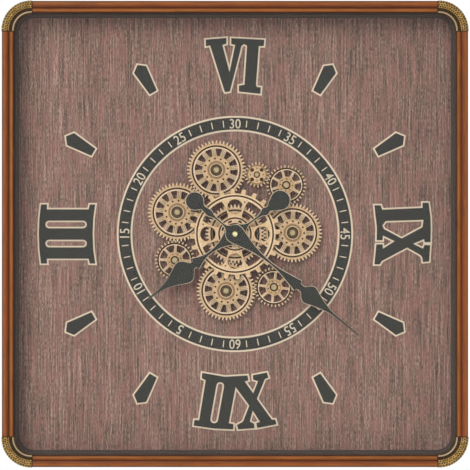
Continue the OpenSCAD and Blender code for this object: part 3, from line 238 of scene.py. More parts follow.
def rgb(red, green, blue):
    """A colour read as 0 to 255 from a picture, as the linear value that a shader needs."""
    return tuple(((c / 255) / 12.92 if c <= 10 else ((c / 255 + 0.055) / 1.055) ** 2.4)
                 for c in (red, green, blue)) + (1.0,)


def start_material(name, **sockets):
    """A new material with a Principled shader; constants are set on the shader's own sockets."""
    material = bpy.data.materials.new(name)
    material.use_nodes = True
    tree = material.node_tree
    shader = tree.nodes["Principled BSDF"]
    for key, value in sockets.items():
        shader.inputs[key.replace("_", " ")].default_value = value
    return material, tree, shader


def places(tree):
    """Where a point of the surface lies, in several ways. Object is its place on the clock."""
    return add(tree, "ShaderNodeTexCoord").outputs


def feed(tree, shader, **sources):
    """Links sockets to the shader's inputs, whose names have _ for a space here."""
    for key, source in sources.items():
        tree.links.new(source, shader.inputs[key.replace("_", " ")])


def dress(tree, shader, colour, roughness, height, strength, distance=BUMP_DISTANCE):
    """Feeds the three inputs that change over a surface: colour, roughness and normal."""
    bump = add(tree, "ShaderNodeBump", {"Height": height, "Strength": strength,
                                        "Distance": distance})
    feed(tree, shader, Base_Color=colour, Roughness=roughness, Normal=bump.outputs["Normal"])


print("dial brown is", [round(c, 3) for c in rgb(147, 120, 110)])

# %% [markdown]
# Patterns are numbers from 0 to 1 over a surface. The next helpers make such patterns, narrow or
# widen them, and lay colours over each other by them.

# %% Patterns and layers of colour
def mix_colour(tree, factor, a, b, blend="MIX"):
    """Colour a with b over it, by a factor from 0 to 1."""
    return add(tree, "ShaderNodeMix", {0: factor, 6: a, 7: b}, data_type="RGBA",
               blend_type=blend).outputs[2]


def layered(tree, colour, *layers):
    """The colour with others laid over it in turn. Each layer is (share, colour)."""
    for share, over in layers:
        colour = mix_colour(tree, share, colour, over)
    return colour


def spread(tree, value, low, high, at_low=0.0, at_high=1.0):
    """Widens the span from low to high to the whole range from 0 to 1, or to another range."""
    return add(tree, "ShaderNodeMapRange", {"Value": value, "From Min": low, "From Max": high,
                                            "To Min": at_low, "To Max": at_high}).outputs[0]


def band(tree, value, middle, half_width, soft):
    """1 where value lies within half_width of middle, falling to 0 over soft."""
    over = minus(tree, math_node(tree, "ABSOLUTE", minus(tree, value, middle)), half_width)
    return minus(tree, 1.0, math_node(tree, "DIVIDE", over, soft, clamp=True), clamp=True)


def above(tree, value, limit):
    """1 where value is greater than limit, and 0 elsewhere."""
    return math_node(tree, "GREATER_THAN", value, limit)


def noise_over(tree, vector, scale, detail, roughness=0.5, output="Fac"):
    """Soft random clouds: scale says how many to the metre, detail how many finer layers."""
    return add(tree, "ShaderNodeTexNoise", {"Vector": vector, "Scale": scale, "Detail": detail,
                                            "Roughness": roughness}).outputs[output]


def vector_node(tree, operation, a, b):
    """The vector that a sum of two vectors gives."""
    return add(tree, "ShaderNodeVectorMath", {0: a, 1: b}, operation=operation).outputs[0]


def parts_of(tree, vector):
    """The X, Y and Z of a vector."""
    return add(tree, "ShaderNodeSeparateXYZ", {0: vector}).outputs


print("mixing helpers ready")

# %% [markdown]
# Some effects are shared by several materials, so each is built once as a node group: wood grain,
# a blotchy surface, and places measured from an axle. A group has named inputs and outputs, and
# puts out only colours, masks and heights. The shader stays in the material itself.

# %% Helpers for node groups
def start_group(name, inputs, outputs):
    """An empty shader group. inputs and outputs are lists of (name, type, default)."""
    group = bpy.data.node_groups.new(name, "ShaderNodeTree")
    for label, kind, value in inputs:
        socket = group.interface.new_socket(label, in_out="INPUT", socket_type="NodeSocket" + kind)
        if value is not None:
            socket.default_value = value
    for label, kind in outputs:
        group.interface.new_socket(label, in_out="OUTPUT", socket_type="NodeSocket" + kind)
    entry = group.nodes.new("NodeGroupInput")
    leave = group.nodes.new("NodeGroupOutput")
    return group, entry.outputs, leave.inputs


def place_group(tree, group, links):
    """Puts a group into a material with its own values, and gives its outputs."""
    return add(tree, "ShaderNodeGroup", links, node_tree=group).outputs


print("group helpers ready")

# %% [markdown]
# ### Wood grain
#
# Wood is the same pattern stretched: noise that is coarse across the grain and many times longer
# along it. Three layers make it up: broad bands of darker and lighter wood, long fine streaks, and
# short flecks where a fibre comes to the surface. A fourth noise lets the colour lean towards
# another hue in patches, and a very fine one draws the dark dashes of open pores. The group takes a
# vector whose Z runs along the grain, so that one group serves the dial, the rails, the wheels and
# the batten.

# %% The wood grain group and its noises
WAVER_SCALE = 9.0
WAVER_REACH = (0.004, 0.004, 0.0)
PORE_STRETCH = 0.05
PORE_SCALE = 2400.0

grain_group, grain_in, grain_out = start_group(
    "wood grain",
    [("Vector", "Vector", None), ("Band Scale", "Float", 18.0), ("Streak Scale", "Float", 420.0),
     ("Fleck Scale", "Float", 750.0), ("Stretch", "Float", 0.03), ("Fleck Stretch", "Float", 0.3),
     ("Fleck Share", "Float", 0.3), ("Light", "Color", (0.5, 0.4, 0.3, 1)),
     ("Middle", "Color", (0.4, 0.3, 0.2, 1)), ("Dark", "Color", (0.2, 0.15, 0.1, 1)),
     ("Tint", "Color", (0.5, 0.3, 0.3, 1)), ("Tint Share", "Float", 0.0),
     ("Tint Scale", "Float", 150.0), ("Pore Share", "Float", 0.0)],
    [("Color", "Color"), ("Height", "Float")])
gt = grain_group


def stretched(amount):
    """The group's vector with its Z shortened, which draws a noise out along Z."""
    scale = add(gt, "ShaderNodeCombineXYZ", {"X": 1.0, "Y": 1.0, "Z": amount}).outputs[0]
    return vector_node(gt, "MULTIPLY", grain_in["Vector"], scale)


waver = noise_over(gt, grain_in["Vector"], WAVER_SCALE, 2.0, output="Color")
long_way = vector_node(gt, "ADD", stretched(grain_in["Stretch"]),
                       vector_node(gt, "MULTIPLY", waver, WAVER_REACH))
short_way = stretched(grain_in["Fleck Stretch"])
bands = noise_over(gt, long_way, grain_in["Band Scale"], 3.0, 0.6)
streaks = noise_over(gt, long_way, grain_in["Streak Scale"], 2.0)
flecks = noise_over(gt, short_way, grain_in["Fleck Scale"], 1.0)
leaning = noise_over(gt, short_way, grain_in["Tint Scale"], 2.0)
pores = noise_over(gt, stretched(PORE_STRETCH), PORE_SCALE, 0.0)
print("wood grain:", len(gt.nodes), "nodes so far")

# %% [markdown]
# A noise rarely comes near 0 or 1, so the span that it does use is first widened to the whole
# range. The layers are then added by their shares. The sum is the tone of the wood, which picks a
# colour from dark over middle to light. It is also the height, because the dark streaks are open
# grain and lie a little lower than the rest, and the pores are deeper still.

# %% The wood grain's colour and height
BAND_SHARE = 0.16
PORE_DEPTH = 0.8
SPANS = {"bands": (0.3, 0.7), "streaks": (0.32, 0.68), "flecks": (0.34, 0.66),
         "leaning": (0.46, 0.66), "pores": (0.58, 0.68)}


def layer(value, label, share):
    """One noise, widened from its own span and weighed by its share."""
    return times(gt, spread(gt, value, *SPANS[label]), share)


streak_share = minus(gt, 1.0 - BAND_SHARE, grain_in["Fleck Share"])
tone = plus(gt, layer(bands, "bands", BAND_SHARE), layer(streaks, "streaks", streak_share))
tone = plus(gt, tone, layer(flecks, "flecks", grain_in["Fleck Share"]))
tint = layer(leaning, "leaning", grain_in["Tint Share"])
pore = layer(pores, "pores", grain_in["Pore Share"])
colour = layered(gt, grain_in["Dark"], (times(gt, tone, 2.0, clamp=True), grain_in["Middle"]),
                 (times(gt, minus(gt, tone, 0.5), 2.0, clamp=True), grain_in["Light"]),
                 (tint, grain_in["Tint"]), (pore, grain_in["Dark"]))
gt.links.new(colour, grain_out["Color"])
gt.links.new(minus(gt, tone, times(gt, pore, PORE_DEPTH)), grain_out["Height"])
print("wood grain:", len(gt.nodes), "nodes")

# %% [markdown]
# A board's grain runs along it, as it was sawn. So the pattern is turned by a quarter for a piece
# that lies level, and a second helper feeds the shader from the grain's tone.

# %% Turning and dressing wood
QUARTER_TURN = (0, math.radians(90), 0)


def along_grain(tree, level):
    """The place of a point, with Z along the grain of an upright or a level piece."""
    return add(tree, "ShaderNodeMapping", {
        "Vector": places(tree)["Object"], "Rotation": QUARTER_TURN if level else (0, 0, 0)
    }).outputs[0]


def dress_wood(tree, shader, colour, height, roughness, smoother, strength,
               distance=BUMP_DISTANCE):
    """Wood is smoother by some share where its grain stands up, and the grain also bumps it."""
    dress(tree, shader, colour, minus(tree, roughness, times(tree, height, smoother)), height,
          strength, distance)


print("wood helper ready")

# %% [markdown]
# ### A blotchy surface
#
# No paint, plastic or metal is perfectly even. Handling, casting and dust leave soft clouds of
# slightly different colour and gloss. This group lightens and darkens a colour by two sizes of
# noise and puts out a matching roughness and a fine height.

# %% The blotch group
SPECK_SHARE = 0.5
BLOTCH_MIDDLE = 0.75
BLOTCH_GAIN = 4.0

blotch_group, blotch_in, blotch_out = start_group(
    "surface blotches",
    [("Color", "Color", (0.5, 0.5, 0.5, 1)), ("Cloud Scale", "Float", 40.0),
     ("Speck Scale", "Float", 900.0), ("Contrast", "Float", 0.12),
     ("Base Roughness", "Float", 0.5), ("Roughness Spread", "Float", 0.1)],
    [("Color", "Color"), ("Roughness", "Float"), ("Height", "Float")])
bt = blotch_group
spot = places(bt)["Object"]
clouds = noise_over(bt, spot, blotch_in["Cloud Scale"], 4.0)
specks = noise_over(bt, spot, blotch_in["Speck Scale"], 2.0)
blotch = minus(bt, plus(bt, clouds, times(bt, specks, SPECK_SHARE)), BLOTCH_MIDDLE)
lighter = times(bt, blotch, times(bt, blotch_in["Contrast"], BLOTCH_GAIN))
rougher = times(bt, blotch, times(bt, blotch_in["Roughness Spread"], BLOTCH_GAIN))
shaded = add(bt, "ShaderNodeVectorMath",
             {0: blotch_in["Color"], "Scale": plus(bt, 1.0, lighter)}, operation="SCALE")
bt.links.new(shaded.outputs[0], blotch_out["Color"])
bt.links.new(plus(bt, blotch_in["Base Roughness"], rougher, clamp=True), blotch_out["Roughness"])
bt.links.new(specks, blotch_out["Height"])
print("surface blotches:", len(bt.nodes), "nodes")

# %% [markdown]
# Most small parts need no more than this group, so one helper makes such a material, and another
# works through a list of them: a name, the colour as seen, the looks, and the nodes to paint.

# %% Helpers that make and place blotchy materials
FINE_BUMP = 0.0001


def blotches(tree, colour, roughness=0.5, gloss_spread=0.08, contrast=0.08, clouds=40.0,
             specks=900.0):
    """The blotch group placed with its values."""
    return place_group(tree, blotch_group, {
        "Color": colour, "Cloud Scale": clouds, "Speck Scale": specks, "Contrast": contrast,
        "Base Roughness": roughness, "Roughness Spread": gloss_spread})


def blotchy(name, colour, roughness=0.5, contrast=0.08, clouds=40.0, specks=900.0, bump=0.1,
            **sockets):
    """A material that is only blotchy. sockets are the shader's constants."""
    material, tree, shader = start_material(name, **sockets)
    group = blotches(tree, colour, roughness, contrast=contrast, clouds=clouds, specks=specks)
    dress(tree, shader, group["Color"], group["Roughness"], group["Height"], bump, FINE_BUMP)
    return material


def paint(material, *names):
    """Gives CAD nodes or pieces a material in their first slot."""
    for name in names:
        target = nodes.get(name) or bpy.data.objects[name]
        target.data.materials.clear()
        target.data.materials.append(material)


def paint_parts(rows):
    """Makes and gives a blotchy material for each row of (name, colour, looks, nodes)."""
    for name, seen_colour, looks, names in rows:
        paint(blotchy(name, rgb(*seen_colour), **looks), *names)
        print(name, "on", ", ".join(names))


floor_material = blotchy("pale floor sheet", (0.86, 0.86, 0.85, 1), roughness=0.85, contrast=0.01,
                         bump=0.02)
floor.data.materials.append(floor_material)
print("first material:", floor_material.name)

# %% [markdown]
# ## The dial
#
# The dial is a panel of brownish purple veneer with its grain upright: very fine streaks, lighter
# and darker, many short flecks, and some streaks that lean to pink. The material uses the grain
# group with Z along the grain, which is already how the clock stands. Its back is bare fibreboard:
# the material tells it by the direction of the surface.

# %% The dial's veneer
FACES_WALL = 0.5
veneer, tree, shader = start_material("dial veneer", Specular_IOR_Level=0.25)
where = places(tree)
grain = place_group(tree, grain_group, {
    "Vector": where["Object"], "Band Scale": 26.0, "Streak Scale": 820.0, "Fleck Scale": 700.0,
    "Stretch": 0.022, "Fleck Stretch": 0.32, "Fleck Share": 0.32, "Light": rgb(214, 172, 156),
    "Middle": rgb(136, 107, 95), "Dark": rgb(58, 46, 40), "Tint": rgb(168, 114, 106),
    "Tint Share": 0.5, "Pore Share": 0.45})
fibre = blotches(tree, rgb(160, 126, 90), contrast=0.1, clouds=26.0, specks=1400.0)
to_wall = above(tree, parts_of(tree, where["Normal"])["Y"], FACES_WALL)
dress_wood(tree, shader, mix_colour(tree, to_wall, grain["Color"], fibre["Color"]),
           grain["Height"], roughness=0.78, smoother=0.2, strength=0.25)
paint(veneer, "dial_panel")
print("dial veneer on dial_panel")

# %% [markdown]
# The numerals, batons and the minute track are cut from thin black board, each on a slightly larger
# cream board that shows as a fine line all round. The line could be painted, but as the solids have
# both boards, it is enough to give each its own matt paint, and the line keeps its real step.

# %% The dial trim
paint_parts([
    ("black dial board", (60, 59, 55),
     dict(roughness=0.62, contrast=0.10, clouds=60.0, specks=1500.0, bump=0.15,
          Specular_IOR_Level=0.1),
     ["minute_track", "numeral_xii", "numeral_iii", "numeral_vi", "numeral_ix", "hour_batons"]),
    ("cream dial board", (236, 215, 189),
     dict(roughness=0.55, contrast=0.05, clouds=80.0, specks=1500.0, bump=0.08,
          Specular_IOR_Level=0.25),
     ["dial_outlines", "minute_ticks"])])

# %% [markdown]
# The numbers 5 to 60 are printed on the minute track with their feet towards the axis. They are
# made as text, turned into one thin mesh, so that they stay sharp from close by, where a painted
# mask would blur. Blender's own font is squeezed a little, because the printed figures are narrow.

# %% One minute number
NUMBER_R = 0.1436
NUMBER_HEIGHT = 0.0127
NUMBER_SQUEEZE = 0.88
NUMBER_BOLDER = 0.006
DEGREES_A_MINUTE = 6
INK = 0.00012
NUMBER_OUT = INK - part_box("minute_track")[0].y


def number_mesh(text):
    """The text as a flat mesh, one unit high or so, round the origin."""
    curve = bpy.data.curves.new("number_" + text, "FONT")
    curve.body = text
    curve.align_x = "CENTER"
    curve.align_y = "CENTER"
    curve.offset = NUMBER_BOLDER
    curve.resolution_u = 4
    holder = put_in_scene("number_" + text, curve)
    bpy.context.view_layer.update()
    mesh = bpy.data.meshes.new_from_object(holder)
    bpy.data.objects.remove(holder)
    return mesh


print("numbers are", NUMBER_HEIGHT * 1000, "mm high")

# %% [markdown]
# Each number is scaled to its height, moved out to the middle of the track, and turned by 6 degrees
# for each minute. All of them together are one piece, a coat of ink just proud of the track.

# %% The ring of numbers
numbers = bmesh.new()
for minute in range(5, 65, 5):
    flat = number_mesh(str(minute))
    turn = math.radians(-DEGREES_A_MINUTE * minute)
    ys = [v.co.y for v in flat.vertices]
    scale = NUMBER_HEIGHT / (max(ys) - min(ys))
    middle = (max(ys) + min(ys)) / 2
    for vertex in flat.vertices:
        x = vertex.co.x * scale * NUMBER_SQUEEZE
        up = (vertex.co.y - middle) * scale + NUMBER_R
        vertex.co = on_dial(x * math.cos(turn) - up * math.sin(turn),
                            x * math.sin(turn) + up * math.cos(turn), NUMBER_OUT)
    numbers.from_mesh(flat)
number_mesh_data = bpy.data.meshes.new("minute_numbers")
numbers.to_mesh(number_mesh_data)
numbers.free()
minute_numbers = put_in_scene("minute_numbers", number_mesh_data)
thick = minute_numbers.modifiers.new("ink thickness", "SOLIDIFY")
thick.thickness = INK
thick.offset = 0
minute_numbers.data.materials.append(blotchy(
    "cream number ink", rgb(232, 214, 190), roughness=0.6, contrast=0.04, bump=0.03,
    Specular_IOR_Level=0.2))
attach(minute_numbers, "clock")
print("minute numbers:", len(number_mesh_data.polygons), "faces")

# %% [markdown]
# ## The frame
#
# The four rails are stained wood with a satin varnish. The grain runs along each rail, so the rails
# at the sides use the object's own Z and the rails at top and bottom turn the pattern by a quarter.
# A colour ramp over the distance from the frame's outer edge holds the stain, with painted shade
# on the rounded outer edge, in the groove and at the inner edge, and painted highlights on the
# crests of the beads. The grain then only lightens and darkens it.

# %% Colours over the width of the moulding
# The stops are the stain with painted light: painted shade on the rounded outer edge, in the groove
# and at the inner edge, and painted highlights on the crests of the two beads.
MOULDING_STAIN_AND_SHADING = [
    (0.0, (56, 29, 14)), (0.7, (62, 33, 15)), (1.3, (88, 48, 22)), (2.2, (146, 83, 40)),
    (3.6, (154, 90, 43)), (5.4, (135, 75, 31)), (7.2, (124, 64, 21)), (8.4, (98, 45, 12)),
    (9.5, (78, 31, 7)), (10.6, (128, 72, 29)), (12.2, (172, 109, 53)), (13.6, (146, 85, 40)),
    (14.7, (116, 66, 29)), (15.4, (82, 45, 21)), (16.0, (50, 27, 14))]


def ramp_over(tree, distance, stops):
    """Colours over a distance in metres. stops are (millimetres, colour as seen)."""
    full = stops[-1][0]
    ramp = add(tree, "ShaderNodeValToRGB", {0: math_node(tree, "DIVIDE", distance, full / 1000)})
    elements = ramp.color_ramp.elements
    while len(elements) > 1:
        elements.remove(elements[0])
    for index, (at, seen_colour) in enumerate(stops):
        element = elements[0] if index == 0 else elements.new(at / full)
        element.position = at / full
        element.color = rgb(*seen_colour)
    return ramp.outputs["Color"]


print("moulding stain:", len(MOULDING_STAIN_AND_SHADING), "stops")

# %% [markdown]
# Behind the front the sides of a rail have one plain stain. Where a rail meets a corner casting,
# dirt and stain have gathered in the joint, which shows as a thin dark line across the moulding.
# All of this lies at fixed places on the frame, so plain sums on the place of a point are enough,
# and no picture has to be wrapped round the rails.

# %% The rails' stained wood
FRONT_ENDS = 0.0045
SIDE_BEGINS = 0.0065
JOINT_AT = OUTER_HALF - 0.039
JOINT_HALF = 0.0012
JOINT_SOFT = 0.0006
JOINT_SHARE = 0.75
SIDE_STAIN = rgb(112, 60, 28)
JOINT_STAIN = rgb(44, 22, 12)


def rail_wood(name, level):
    """The wood of two facing rails, the level ones or the upright ones."""
    material, tree, shader = start_material(name, Specular_IOR_Level=0.2, Coat_Weight=0.12,
                                            Coat_Roughness=0.3)
    grain = place_group(tree, grain_group, {
        "Vector": along_grain(tree, level), "Band Scale": 70.0, "Streak Scale": 300.0,
        "Fleck Scale": 400.0, "Stretch": 0.09, "Fleck Stretch": 0.12, "Fleck Share": 0.3,
        "Light": (1.34, 1.3, 1.2, 1), "Middle": (1.0, 0.98, 0.9, 1), "Dark": (0.64, 0.57, 0.48, 1),
        "Tint": (1.22, 1.0, 0.62, 1), "Tint Share": 0.5, "Tint Scale": 60.0, "Pore Share": 0.4})
    place = parts_of(tree, places(tree)["Object"])
    up = plus(tree, place["Z"], HANG_RISE)
    across, along = (up, place["X"]) if level else (place["X"], up)
    edge_in = minus(tree, OUTER_HALF, math_node(tree, "ABSOLUTE", across))
    behind_front = spread(tree, place["Y"], FRONT_ENDS - DEPTH, SIDE_BEGINS - DEPTH)
    joint = band(tree, math_node(tree, "ABSOLUTE", along), JOINT_AT, JOINT_HALF, JOINT_SOFT)
    # The ramp's colours carry painted shade and painted highlights across the moulding.
    stain_and_shading = layered(tree, ramp_over(tree, edge_in, MOULDING_STAIN_AND_SHADING),
                    (behind_front, SIDE_STAIN), (times(tree, joint, JOINT_SHARE), JOINT_STAIN))
    dress_wood(tree, shader, mix_colour(tree, 1.0, stain_and_shading, grain["Color"], "MULTIPLY"),
               grain["Height"], roughness=0.52, smoother=0.15, strength=0.12)
    return material


paint(rail_wood("rail wood upright", level=False), "rail_left", "rail_right")
paint(rail_wood("rail wood level", level=True), "rail_top", "rail_bottom")
print("rails stained")

# %% [markdown]
# ### The antique brass corners
#
# Each corner is a casting: a broad round band with rows of small pits, a dark recess, and one
# bright line inside. A bump map alone looks flat at the rim, so the casting is made as a mesh: its
# profile is swept round the corner in small steps, and the pits are pressed into it along its own
# normal. How deep each vertex lies in a pit, and which part of the profile it belongs to, is kept
# on the mesh as attributes, and the material reads them.

# %% The casting's profile
CORNER_R = 0.038
STUB = 0.001
LIP_W = 0.0176
LINE_END = 0.016
WALL_W = 0.0125
BAND_W = 0.0097
BAND_RISE = 0.0017
RIM_W = 0.0016
LINE_W = 0.0022
LINE_RISE = 0.0013
RECESS_D = 0.0026
INNER_FOOT = 0.0008
FOOT_PITS = 0.3
STEP = 0.00055
HAIR = 0.0001
GLASS_FRONT = abs(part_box("front_glass")[0].y)
RAIL_BACK = -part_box("casting_upper_left")[1].y
ZONES = ("dent", "recess", "line", "rim")


def bead(start, end, base, rise, steps):
    """Points over a round bead, from its outer foot to its inner foot."""
    half = (end - start) / 2
    r = (half ** 2 + rise ** 2) / (2 * rise)
    turns = [math.asin(half / r) * (2 * i / steps - 1) for i in range(steps + 1)]
    return [((start + end) / 2 + r * math.sin(t), base + rise - r + r * math.cos(t)) for t in turns]


def casting_profile():
    """Rows of (distance in from the outer edge, distance from the wall, pits, then the zones)."""
    shoulder = DEPTH - BAND_RISE
    floor_out = DEPTH - RECESS_D
    line_start = LINE_END - LINE_W
    count = int((shoulder - RAIL_BACK) / STEP)
    rows = [(0.0, RAIL_BACK + (shoulder - RAIL_BACK) * i / count, 1.0, 0.0, 0.0, 1.0)
            for i in range(count)]
    for w, out in bead(0.0, BAND_W, shoulder, BAND_RISE, 20):
        pits = FOOT_PITS if w > BAND_W - INNER_FOOT else 1.0
        # The last zone marks the band's outer rim, which the brass darkens as painted shade.
        rows.append((w, out, pits, 0.0, 0.0, max(0.0, 1.0 - w / RIM_W)))
    recess = [(BAND_W + HAIR, floor_out + HAIR)]
    recess += [(BAND_W + (line_start - BAND_W) * i / 7, floor_out) for i in range(1, 8)]
    rows += [(w, out, 0.0, 1.0, 0.0, 0.0) for w, out in recess]
    rows += [(w, out, 0.0, 0.0, 1.0, 0.0)
             for w, out in bead(line_start + HAIR, LINE_END - HAIR, floor_out, LINE_RISE, 8)]
    inside = [(LINE_END, floor_out), (LIP_W, floor_out - 2 * HAIR), (LIP_W, GLASS_FRONT),
              (WALL_W, GLASS_FRONT), (WALL_W, RAIL_BACK)]
    return rows + [(w, out, 0.0, 1.0, 0.0, 0.0) for w, out in inside]


print("casting profile:", len(casting_profile()), "points")

# %% [markdown]
# The pits stand in rows, each shifted by half a step from the last, and every pit drifts a little
# from its place, as hand work does. The drift comes from a noise that is the same on every run. A
# pit's wall is steep at its edge and its bottom is round. The recess gets a plainer slanting hatch.

# %% The pits
PIT_PITCH = 0.0038
PIT_ROW = 0.0031
PIT_R = 0.0018
PIT_DEPTH = 0.0008
PIT_DRIFT = 0.0008
PIT_STEEPNESS = 1.35
FIRST_ROW = 0.0018
HATCH_PITCH = 0.0040
HATCH_SLANT = 0.35


def pit(across, along, seed):
    """How deep a point lies in a pit: 0 on the band's surface, 1 at the middle of a pit."""
    row = round(across / PIT_ROW)
    offset = 0.5 * (row % 2)
    column = round(along / PIT_PITCH - offset)
    chance = noise.cell_vector(Vector((row + seed, column, seed)))
    drift = (chance - Vector((0.5, 0.5, 0.5))) * PIT_DRIFT
    away = math.hypot(along - (column + offset) * PIT_PITCH - drift.x,
                      across - row * PIT_ROW - drift.y)
    depth = max(0.0, min(1.0, PIT_STEEPNESS * (1.0 - away / PIT_R)))
    return depth * depth * (3 - 2 * depth)


def hatch(w, along):
    """The same for the hatch of the recess, at a distance w from the outer edge."""
    return 0.5 + 0.5 * math.sin(math.tau * (along + HATCH_SLANT * (w - BAND_W)) / HATCH_PITCH)


print("at the corner's start a pit is", round(pit(0.0, 0.0, 0.5), 2), "deep")

# %% [markdown]
# Two things are needed to sweep the profile: stations round the corner, with a short straight stub
# at both ends, and for each point of the profile how far along it lies and which way is outward.
# The pits are laid out by those lengths, so that they keep their size over the rim.

# %% Stations and normals
def profile_frames(profile):
    """For each point of the profile its length along the profile, and its outward normal."""
    lengths = [0.0]
    for a, b in zip(profile, profile[1:]):
        lengths.append(lengths[-1] + math.hypot(b[0] - a[0], b[1] - a[1]))
    normals = []
    for i in range(len(profile)):
        a, b = profile[max(i - 1, 0)], profile[min(i + 1, len(profile) - 1)]
        run = Vector((b[0] - a[0], b[1] - a[1])).normalized()
        normals.append((-run.y, run.x))
    return lengths, normals


def corner_path():
    """Stations round the corner: (distance along a straight stub, angle round the corner)."""
    arc_steps = int(CORNER_R * math.pi / 2 / STEP)
    arc = [(0.0, math.pi / 2 * i / arc_steps) for i in range(arc_steps + 1)]
    return ([(-STUB, 0.0), (-STUB / 2, 0.0)] + arc
            + [(STUB / 2, math.pi / 2), (STUB, math.pi / 2)])


print("stations round a corner:", len(corner_path()))

# %% Sweeping a casting
FIRST_SEED = 3.5
SHARP_DEGREES = 50


def build_casting(name, sign_x, sign_up):
    """One corner casting. The signs say which corner, and also choose its own drift of pits."""
    profile = casting_profile()
    lengths, normals = profile_frames(profile)
    band_end = max(length for length, row in zip(lengths, profile) if row[2] > 0)
    middle = Vector((OUTER_HALF - CORNER_R, 0, OUTER_HALF - CORNER_R))
    seed = FIRST_SEED + sign_x + 2 * sign_up
    mesh = bmesh.new()
    layers = {label: mesh.verts.layers.float.new(label) for label in ZONES}
    rows = []
    for offset, angle in corner_path():
        row = []
        direction = Vector((math.cos(angle), 0, math.sin(angle)))
        tangent = Vector((-math.sin(angle), 0, math.cos(angle)))
        along = offset + CORNER_R * angle
        for (w, out, pits, *zones), length, (turn_w, turn_out) in zip(profile, lengths, normals):
            dent = 0.0
            if pits > 0:
                dent = pits * pit(band_end - length - FIRST_ROW, along, seed)
                w -= turn_w * dent * PIT_DEPTH
                out -= turn_out * dent * PIT_DEPTH
            elif zones[0] > 0 and BAND_W < w < LINE_END - LINE_W:
                dent = hatch(w, along)
            spot = middle + direction * (CORNER_R - w) + tangent * offset
            vertex = mesh.verts.new((spot.x * sign_x, -out, spot.z * sign_up - HANG_RISE))
            for label, value in zip(ZONES, (dent, *zones)):
                vertex[layers[label]] = value
            row.append(vertex)
        rows.append(row)
    for a, b in zip(rows, rows[1:]):
        for i in range(len(profile)):
            j = (i + 1) % len(profile)
            mesh.faces.new((a[i], a[j], b[j], b[i]))
    mesh.faces.new(rows[0])
    mesh.faces.new(list(reversed(rows[-1])))
    bmesh.ops.recalc_face_normals(mesh, faces=mesh.faces)
    for face in mesh.faces:
        face.smooth = len(face.verts) == 4
    data = bpy.data.meshes.new(name)
    mesh.to_mesh(data)
    mesh.free()
    data.set_sharp_from_angle(angle=math.radians(SHARP_DEGREES))
    return put_in_scene(name, data)


print("edges sharper than", SHARP_DEGREES, "degrees stay sharp")

# %% The four castings
corners = []
for side, sign_x in (("left", -1), ("right", 1)):
    for level, sign_up in (("lower", -1), ("upper", 1)):
        casting = build_casting(f"pebbled_corner_{level}_{side}", sign_x, sign_up)
        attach(casting, "clock")
        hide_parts(f"casting_{level}_{side}")
        corners.append(casting)
print("castings:", [len(c.data.polygons) for c in corners])

# %% [markdown]
# Old brass is bright where it is touched and dark brown where polish never reaches. The material
# mixes the two by the depth of the pits, and takes the recess, the bright line and the darker outer
# rim from the attributes on the mesh. The darker outer rim is painted shade, where the round band
# turns away from the light. Where it is dark it is also rougher and less metallic.

# %% The antique brass
POLISHED, DULLED, STAINED = rgb(202, 165, 100), rgb(164, 130, 72), rgb(124, 94, 48)
# The third colour on the next line, for the band's outer rim, is painted shade where the round band
# turns away from the light.
PIT_BOTTOM, RIM_SHADE, LINE = rgb(24, 15, 4), rgb(92, 76, 42), rgb(182, 162, 136)
TARNISH, TARNISH_SPOTS, HATCH = rgb(58, 40, 16), rgb(98, 74, 42), rgb(30, 19, 8)
CLOUD_SCALE, CLOUD_SPAN = 220.0, (0.35, 0.65)
GRIT_SCALE, GRIT_SPAN = 750.0, (0.38, 0.62)
STAINED_SHARE = 0.45
RIM_SHADE_SHARE = 0.8
BRIGHT_METALLIC, LESS_WHERE_DULL = 0.6, 0.5
BRIGHT_ROUGHNESS, MORE_WHERE_DULL = 0.4, 0.35

antique, tree, shader = start_material("antique brass", Specular_IOR_Level=0.25)
where = places(tree)["Object"]
zone = {label: add(tree, "ShaderNodeAttribute", attribute_name=label).outputs["Fac"]
        for label in ZONES}
grit = noise_over(tree, where, GRIT_SCALE, 1.0)
cloudy = spread(tree, noise_over(tree, where, CLOUD_SCALE, 3.0), *CLOUD_SPAN)
gritty = spread(tree, grit, *GRIT_SPAN)
recess = layered(tree, TARNISH, (gritty, TARNISH_SPOTS), (zone["dent"], HATCH))
# The outer rim of the band is darkened here as painted shade.
brass = layered(tree, POLISHED, (cloudy, DULLED), (times(tree, gritty, STAINED_SHARE), STAINED),
                (zone["dent"], PIT_BOTTOM), (times(tree, zone["rim"], RIM_SHADE_SHARE), RIM_SHADE),
                (zone["recess"], recess), (zone["line"], LINE))
dull = math_node(tree, "MAXIMUM", zone["dent"], zone["recess"])
metallic = minus(tree, BRIGHT_METALLIC, times(tree, dull, LESS_WHERE_DULL))
roughness = plus(tree, BRIGHT_ROUGHNESS, times(tree, dull, MORE_WHERE_DULL))
feed(tree, shader, Metallic=metallic)
dress(tree, shader, brass, roughness, grit, strength=0.35)
for casting in corners:
    casting.data.materials.append(antique)
print("brass on", len(corners), "corners")

# %% [markdown]
# Between the glass and the dial runs a dark grey board that keeps them apart. The glass itself is a
# thin clear sheet. Light has to reach the dial through it, so for shadow rays, and for the light
# that the dial throws back, the material is fully clear; for all other rays it is glass. A few
# broad smudges, hardly rougher than the rest, keep its reflections from being perfect.

# %% The liner
paint_parts([("liner board", (88, 77, 71),
              dict(roughness=0.7, contrast=0.06, clouds=50.0, specks=1200.0, bump=0.1,
                   Specular_IOR_Level=0.1), ["glass_liner"])])

# %% The glass
SMUDGE_SCALE, SMUDGE_SPAN = 14.0, (0.55, 0.8)
SMUDGE_ROUGHNESS = 0.02

